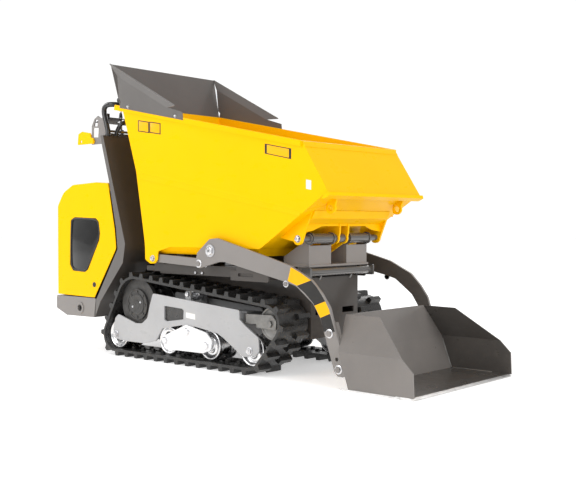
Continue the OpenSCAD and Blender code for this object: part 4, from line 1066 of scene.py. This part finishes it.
@dataclass
class OperatorStation:
    """Handlebar, console, levers, safety bar and key."""

    shop: Workshop
    levers: tuple[tuple[str, float], ...] = (
        ("travel_lever_right", -0.06), ("travel_lever_left", 0.06),
        ("skip_lever", -0.16), ("shovel_lever", 0.16))

    def build(self) -> None:
        """Builds the operator's pieces."""
        shop = self.shop
        shop.eased("console_housing", Finish.GREY, 0.001)
        shop.eased("control_panel", Finish.MOULDED, 0.0008)
        shop.eased("safety_bar", Finish.YELLOW, 0.001)
        shop.eased("ignition_key", Finish.MOULDED, 0.0006)
        self.handlebar()
        for name, y in self.levers:
            self.lever(name, y)
        self.gauges()
        outline = side_view((-834, 1078), (-800, 1076), (-796, 1123), (-832, 1126))
        label = Shape().plate(outline, -0.286, -0.2866)
        shop.finish("console_label", label, Finish.LABEL, "chassis")

    def handlebar(self) -> None:
        """Builds the two bent tubes and the grip on the top rail."""
        half = [(-0.738, -0.3, 1.0773), (-0.738, -0.3, 1.108), (-0.776, -0.3, 1.206), (-0.752, -0.3, 1.231),
                (-0.71, -0.3, 1.231), (-0.684, -0.268, 1.229)]
        path = half + mirrored(half)[::-1]
        shape = Shape().pipe(path, 0.0128, soften=3)
        low = [(-0.738, -0.248, 1.0773), (-0.738, -0.248, 1.102), (-0.678, -0.248, 1.16)]
        shape.pipe(low + mirrored(low)[::-1], 0.0104, soften=3)
        self.shop.finish("handlebar_tubes", shape, Finish.BLACK, "chassis", ("handlebar",), 60.0)
        bead = [(0.0122, 0), (0.0146, 0.0012), (0.0151, 0.0035), (0.0151, 0.0065), (0.0146, 0.0088),
                (0.0122, 0.01)]
        grips = Shape()
        for sign in SIDES.values():
            for k in range(13):
                y = sign * (0.09 + 0.0105 * k)
                grips.lathe((-0.684, y, 1.229), (0, sign, 0), bead, 32)
        self.shop.finish("rail_grips", grips, Finish.BUFFER, "chassis", (), 50.0)
        feet = Shape()
        for sign in SIDES.values():
            for y, profile in ((0.3, collar(0.012, 0.0165, 0.0145, 0.004, 0.0062)),
                               (0.248, collar(0.0095, 0.0142, 0.0125, 0.003, 0.005))):
                feet.lathe((-0.738, sign * y, 1.0772), (0, 0, 1), profile, 32)
        self.shop.finish("tube_collars", feet, Finish.BLACK, "chassis")

    def lever(self, node: str, y: float) -> None:
        """Builds one lever with its knob and collar.

        Args:
            node: The CAD node that it stands for.
            y: Its place across the panel.
        """
        at = self.shop.joint[f"{node}_tilt"]
        body = self.shop.body_of[node]
        up = Vector((-0.008, 0.0, 0.142)).normalized()
        rod = Shape().lathe((at.x, y, at.z), tuple(up), sleeve(0.0, 0.0058, 0.009, 0.146), 24)
        rod.lathe((at.x, y - 0.009, at.z), (0, 1, 0), sleeve(0.00605, 0.012, 0.0, 0.018), 32)
        self.shop.finish(f"{node}_rod", rod, Finish.ZINC, body, (node,), 40.0)
        knob = Shape().lathe((at.x, y, at.z), tuple(up),
                             [(0, 0.138), (0.0075, 0.138), (0.0088, 0.141), (0.0105, 0.148), (0.0142, 0.154),
                              (0.0166, 0.161), (0.0166, 0.166), (0.0148, 0.172), (0.0105, 0.1765),
                              (0.005, 0.178), (0, 0.178)], 40)
        self.shop.finish(f"{node}_knob", knob, Finish.MOULDED, body, (), 60.0)
        ribs: list[Point2] = [(0.0055, 0.072)]
        for k in range(5):
            ribs += [(0.011 - 0.0008 * k, 0.073 + 0.0052 * k), (0.0088 - 0.0006 * k, 0.0762 + 0.0052 * k)]
        ribs.append((0.0055, 0.0985))
        gaiter = Shape().lathe((at.x, y, at.z), tuple(up), ribs, 40)
        self.shop.finish(f"{node}_gaiter", gaiter, Finish.BUFFER, body, (), 60.0)

    def gauges(self) -> None:
        """Adds the switches and the hour meter's blank window."""
        tilt = Matrix.Rotation(math.radians(-13.4), 4, "Y")
        box = Shape().block((-0.823, 0.232, 1.1762), (0.052, 0.06, 0.01), 0.002, tilt)
        self.shop.finish("meter_case", box, Finish.MOULDED, "chassis")
        window = Shape().block((-0.8232, 0.232, 1.1812), (0.034, 0.044, 0.003), 0.001, tilt)
        self.shop.finish("meter_window", window, Finish.SMOKED, "chassis")
        button = [(0, 0), (0.012, 0), (0.012, 0.004), (0.0075, 0.006), (0.0075, 0.012), (0.0128, 0.014),
                  (0.0136, 0.017), (0.0125, 0.0205), (0, 0.022)]
        red = Shape().lathe((-0.823, 0.11, 1.1705), (-0.23, 0, 0.973), button, 40)
        self.shop.finish("stop_button", red, Finish.RED, "chassis", (), 50.0)


@dataclass
class EngineBay:
    """The hood with its louvred windows, and what it covers."""

    shop: Workshop
    window: list[Point2] = field(default_factory=lambda: side_view(
        (-964, 440), (-941, 404), (-846, 400), (-820, 414), (-729, 561), (-722, 593), (-731, 645),
        (-752, 662), (-928, 668), (-959, 654)))

    def build(self) -> None:
        """Builds the hood and the engine bay."""
        shop = self.shop
        shop.eased("engine_hood", Finish.YELLOW, 0.0016, 25.0)
        shop.keep(Finish.CAST, "engine", "valve_block")
        shop.keep(Finish.MOULDED, "fuel_tank", "hydraulic_tank")
        shop.eased("hood_grilles", Finish.SMOKED, 0.0012)
        pane = Shape()
        for sign in SIDES.values():
            pane.plate(self.window, sign * 0.3388, sign * 0.3396, 0.0003)
        shop.finish("window_panes", pane, Finish.SMOKED, "hood")
        bead = Shape()
        for sign in SIDES.values():
            bead.pipe([(x, sign * 0.3395, z) for x, z in self.window], 0.0036, cyclic=True, soften=2)
        shop.finish("window_beads", bead, Finish.MOULDED, "hood", (), 60.0)
        lock = [(0, 0), (0.0125, 0), (0.0125, 0.0022), (0.0105, 0.0036), (0.004, 0.0038), (0.0035, 0.0022),
                (0, 0.0022)]
        latch = Shape()
        for sign in SIDES.values():
            latch.lathe((-0.80, sign * 0.34, 0.335), (0, sign, 0), lock, 36)
        shop.finish("hood_locks", latch, Finish.MOULDED, "hood")


@dataclass
class Studio:
    """Floor, lights and camera."""

    eye: Point3 = (2.987, -3.1293, 0.6445)
    azimuth: float = 41.7476
    down: float = 1.0744
    lens: float = 57.57

    def build(self) -> None:
        """Sets the floor, the lights and the camera."""
        self.floor()
        self.world()
        self.lamp("key", (-1.0, -4.6, 2.6), 3.0, 105.0)
        self.lamp("side", (-4.6, -1.6, 3.0), 2.6, 60.0)
        self.lamp("front", (4.6, -0.6, 2.6), 2.4, 85.0)
        self.lamp("back", (-1.5, 4.0, 3.6), 3.0, 50.0)
        view = bpy.context.scene.view_settings
        view.view_transform, view.look = "Standard", "None"
        self.camera()

    def floor(self) -> None:
        """Lays a wide plain floor."""
        shape = bmesh.new()
        bmesh.ops.create_circle(shape, cap_ends=True, segments=96, radius=40.0)
        data = bpy.data.meshes.new("studio_floor")
        shape.to_mesh(data)
        shape.free()
        graph = NodeGraph("studio_white")
        graph.colour(graph.blend(graph.noise(0.7), (0.93, 0.93, 0.93), (0.96, 0.96, 0.96)))
        graph.put(Roughness=0.6, Specular_IOR_Level=0.2, Emission_Strength=0.42)
        graph.shader.inputs["Emission Color"].default_value = (1.0, 1.0, 1.0, 1.0)
        data.materials.append(graph.material)
        ground = bpy.data.objects.new("studio_floor", data)
        bpy.context.scene.collection.objects.link(ground)
        ground.location.z = -0.0005

    def world(self) -> None:
        """Surrounds the scene with soft light in front of a white backdrop."""
        world = bpy.data.worlds.new("studio_world")
        world.use_nodes = True
        background = world.node_tree.nodes["Background"]
        background.inputs["Color"].default_value = (1.0, 1.0, 1.0, 1.0)
        paths = world.node_tree.nodes.new("ShaderNodeLightPath")
        power = world.node_tree.nodes.new("ShaderNodeMapRange")
        power.inputs["To Min"].default_value, power.inputs["To Max"].default_value = 0.62, 1.05
        world.node_tree.links.new(paths.outputs["Is Camera Ray"], power.inputs["Value"])
        world.node_tree.links.new(power.outputs["Result"], background.inputs["Strength"])
        bpy.context.scene.world = world

    def lamp(self, name: str, place: Point3, size: float, power: float) -> None:
        """Hangs one soft lamp that points at the machine.

        Args:
            name: Its name.
            place: Where it hangs.
            size: The side of its square.
            power: Its power in watts.
        """
        data = bpy.data.lights.new(name, "AREA")
        data.shape, data.size, data.energy = "SQUARE", size, power
        light = bpy.data.objects.new(name, data)
        bpy.context.scene.collection.objects.link(light)
        light.location = place
        light.rotation_euler = (Vector((0.0, 0.0, 0.5)) - Vector(place)).to_track_quat("-Z", "Y").to_euler()

    def camera(self) -> None:
        """Sets the camera at the view of the machine's right front."""
        data = bpy.data.cameras.new("camera")
        data.lens, data.sensor_width = self.lens, 36.0
        data.dof.use_dof = False
        seer = bpy.data.objects.new("camera", data)
        bpy.context.scene.collection.objects.link(seer)
        turn, fall = math.radians(self.azimuth), math.radians(self.down)
        look = Vector((-math.sin(turn) * math.cos(fall), math.cos(turn) * math.cos(fall), -math.sin(fall)))
        seer.location = self.eye
        seer.rotation_euler = look.to_track_quat("-Z", "Y").to_euler()
        bpy.context.scene.camera = seer


def main() -> None:
    """Builds the whole machine and the studio in order."""
    logging.basicConfig(level=logging.INFO, format="%(name)s: %(message)s")
    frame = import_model()
    Studio().build()
    shop = Workshop(frame)
    for kind in (RunningGear, Chassis, Skip, Shovel, OperatorStation, EngineBay):
        part = kind(shop)
        before = len(shop.made)
        part.build()
        for name in shop.made[before:]:
            LOG.info("%s made %s", type(part).__name__, name)
    bpy.context.view_layer.update()


if __name__ == "__main__":
    main()
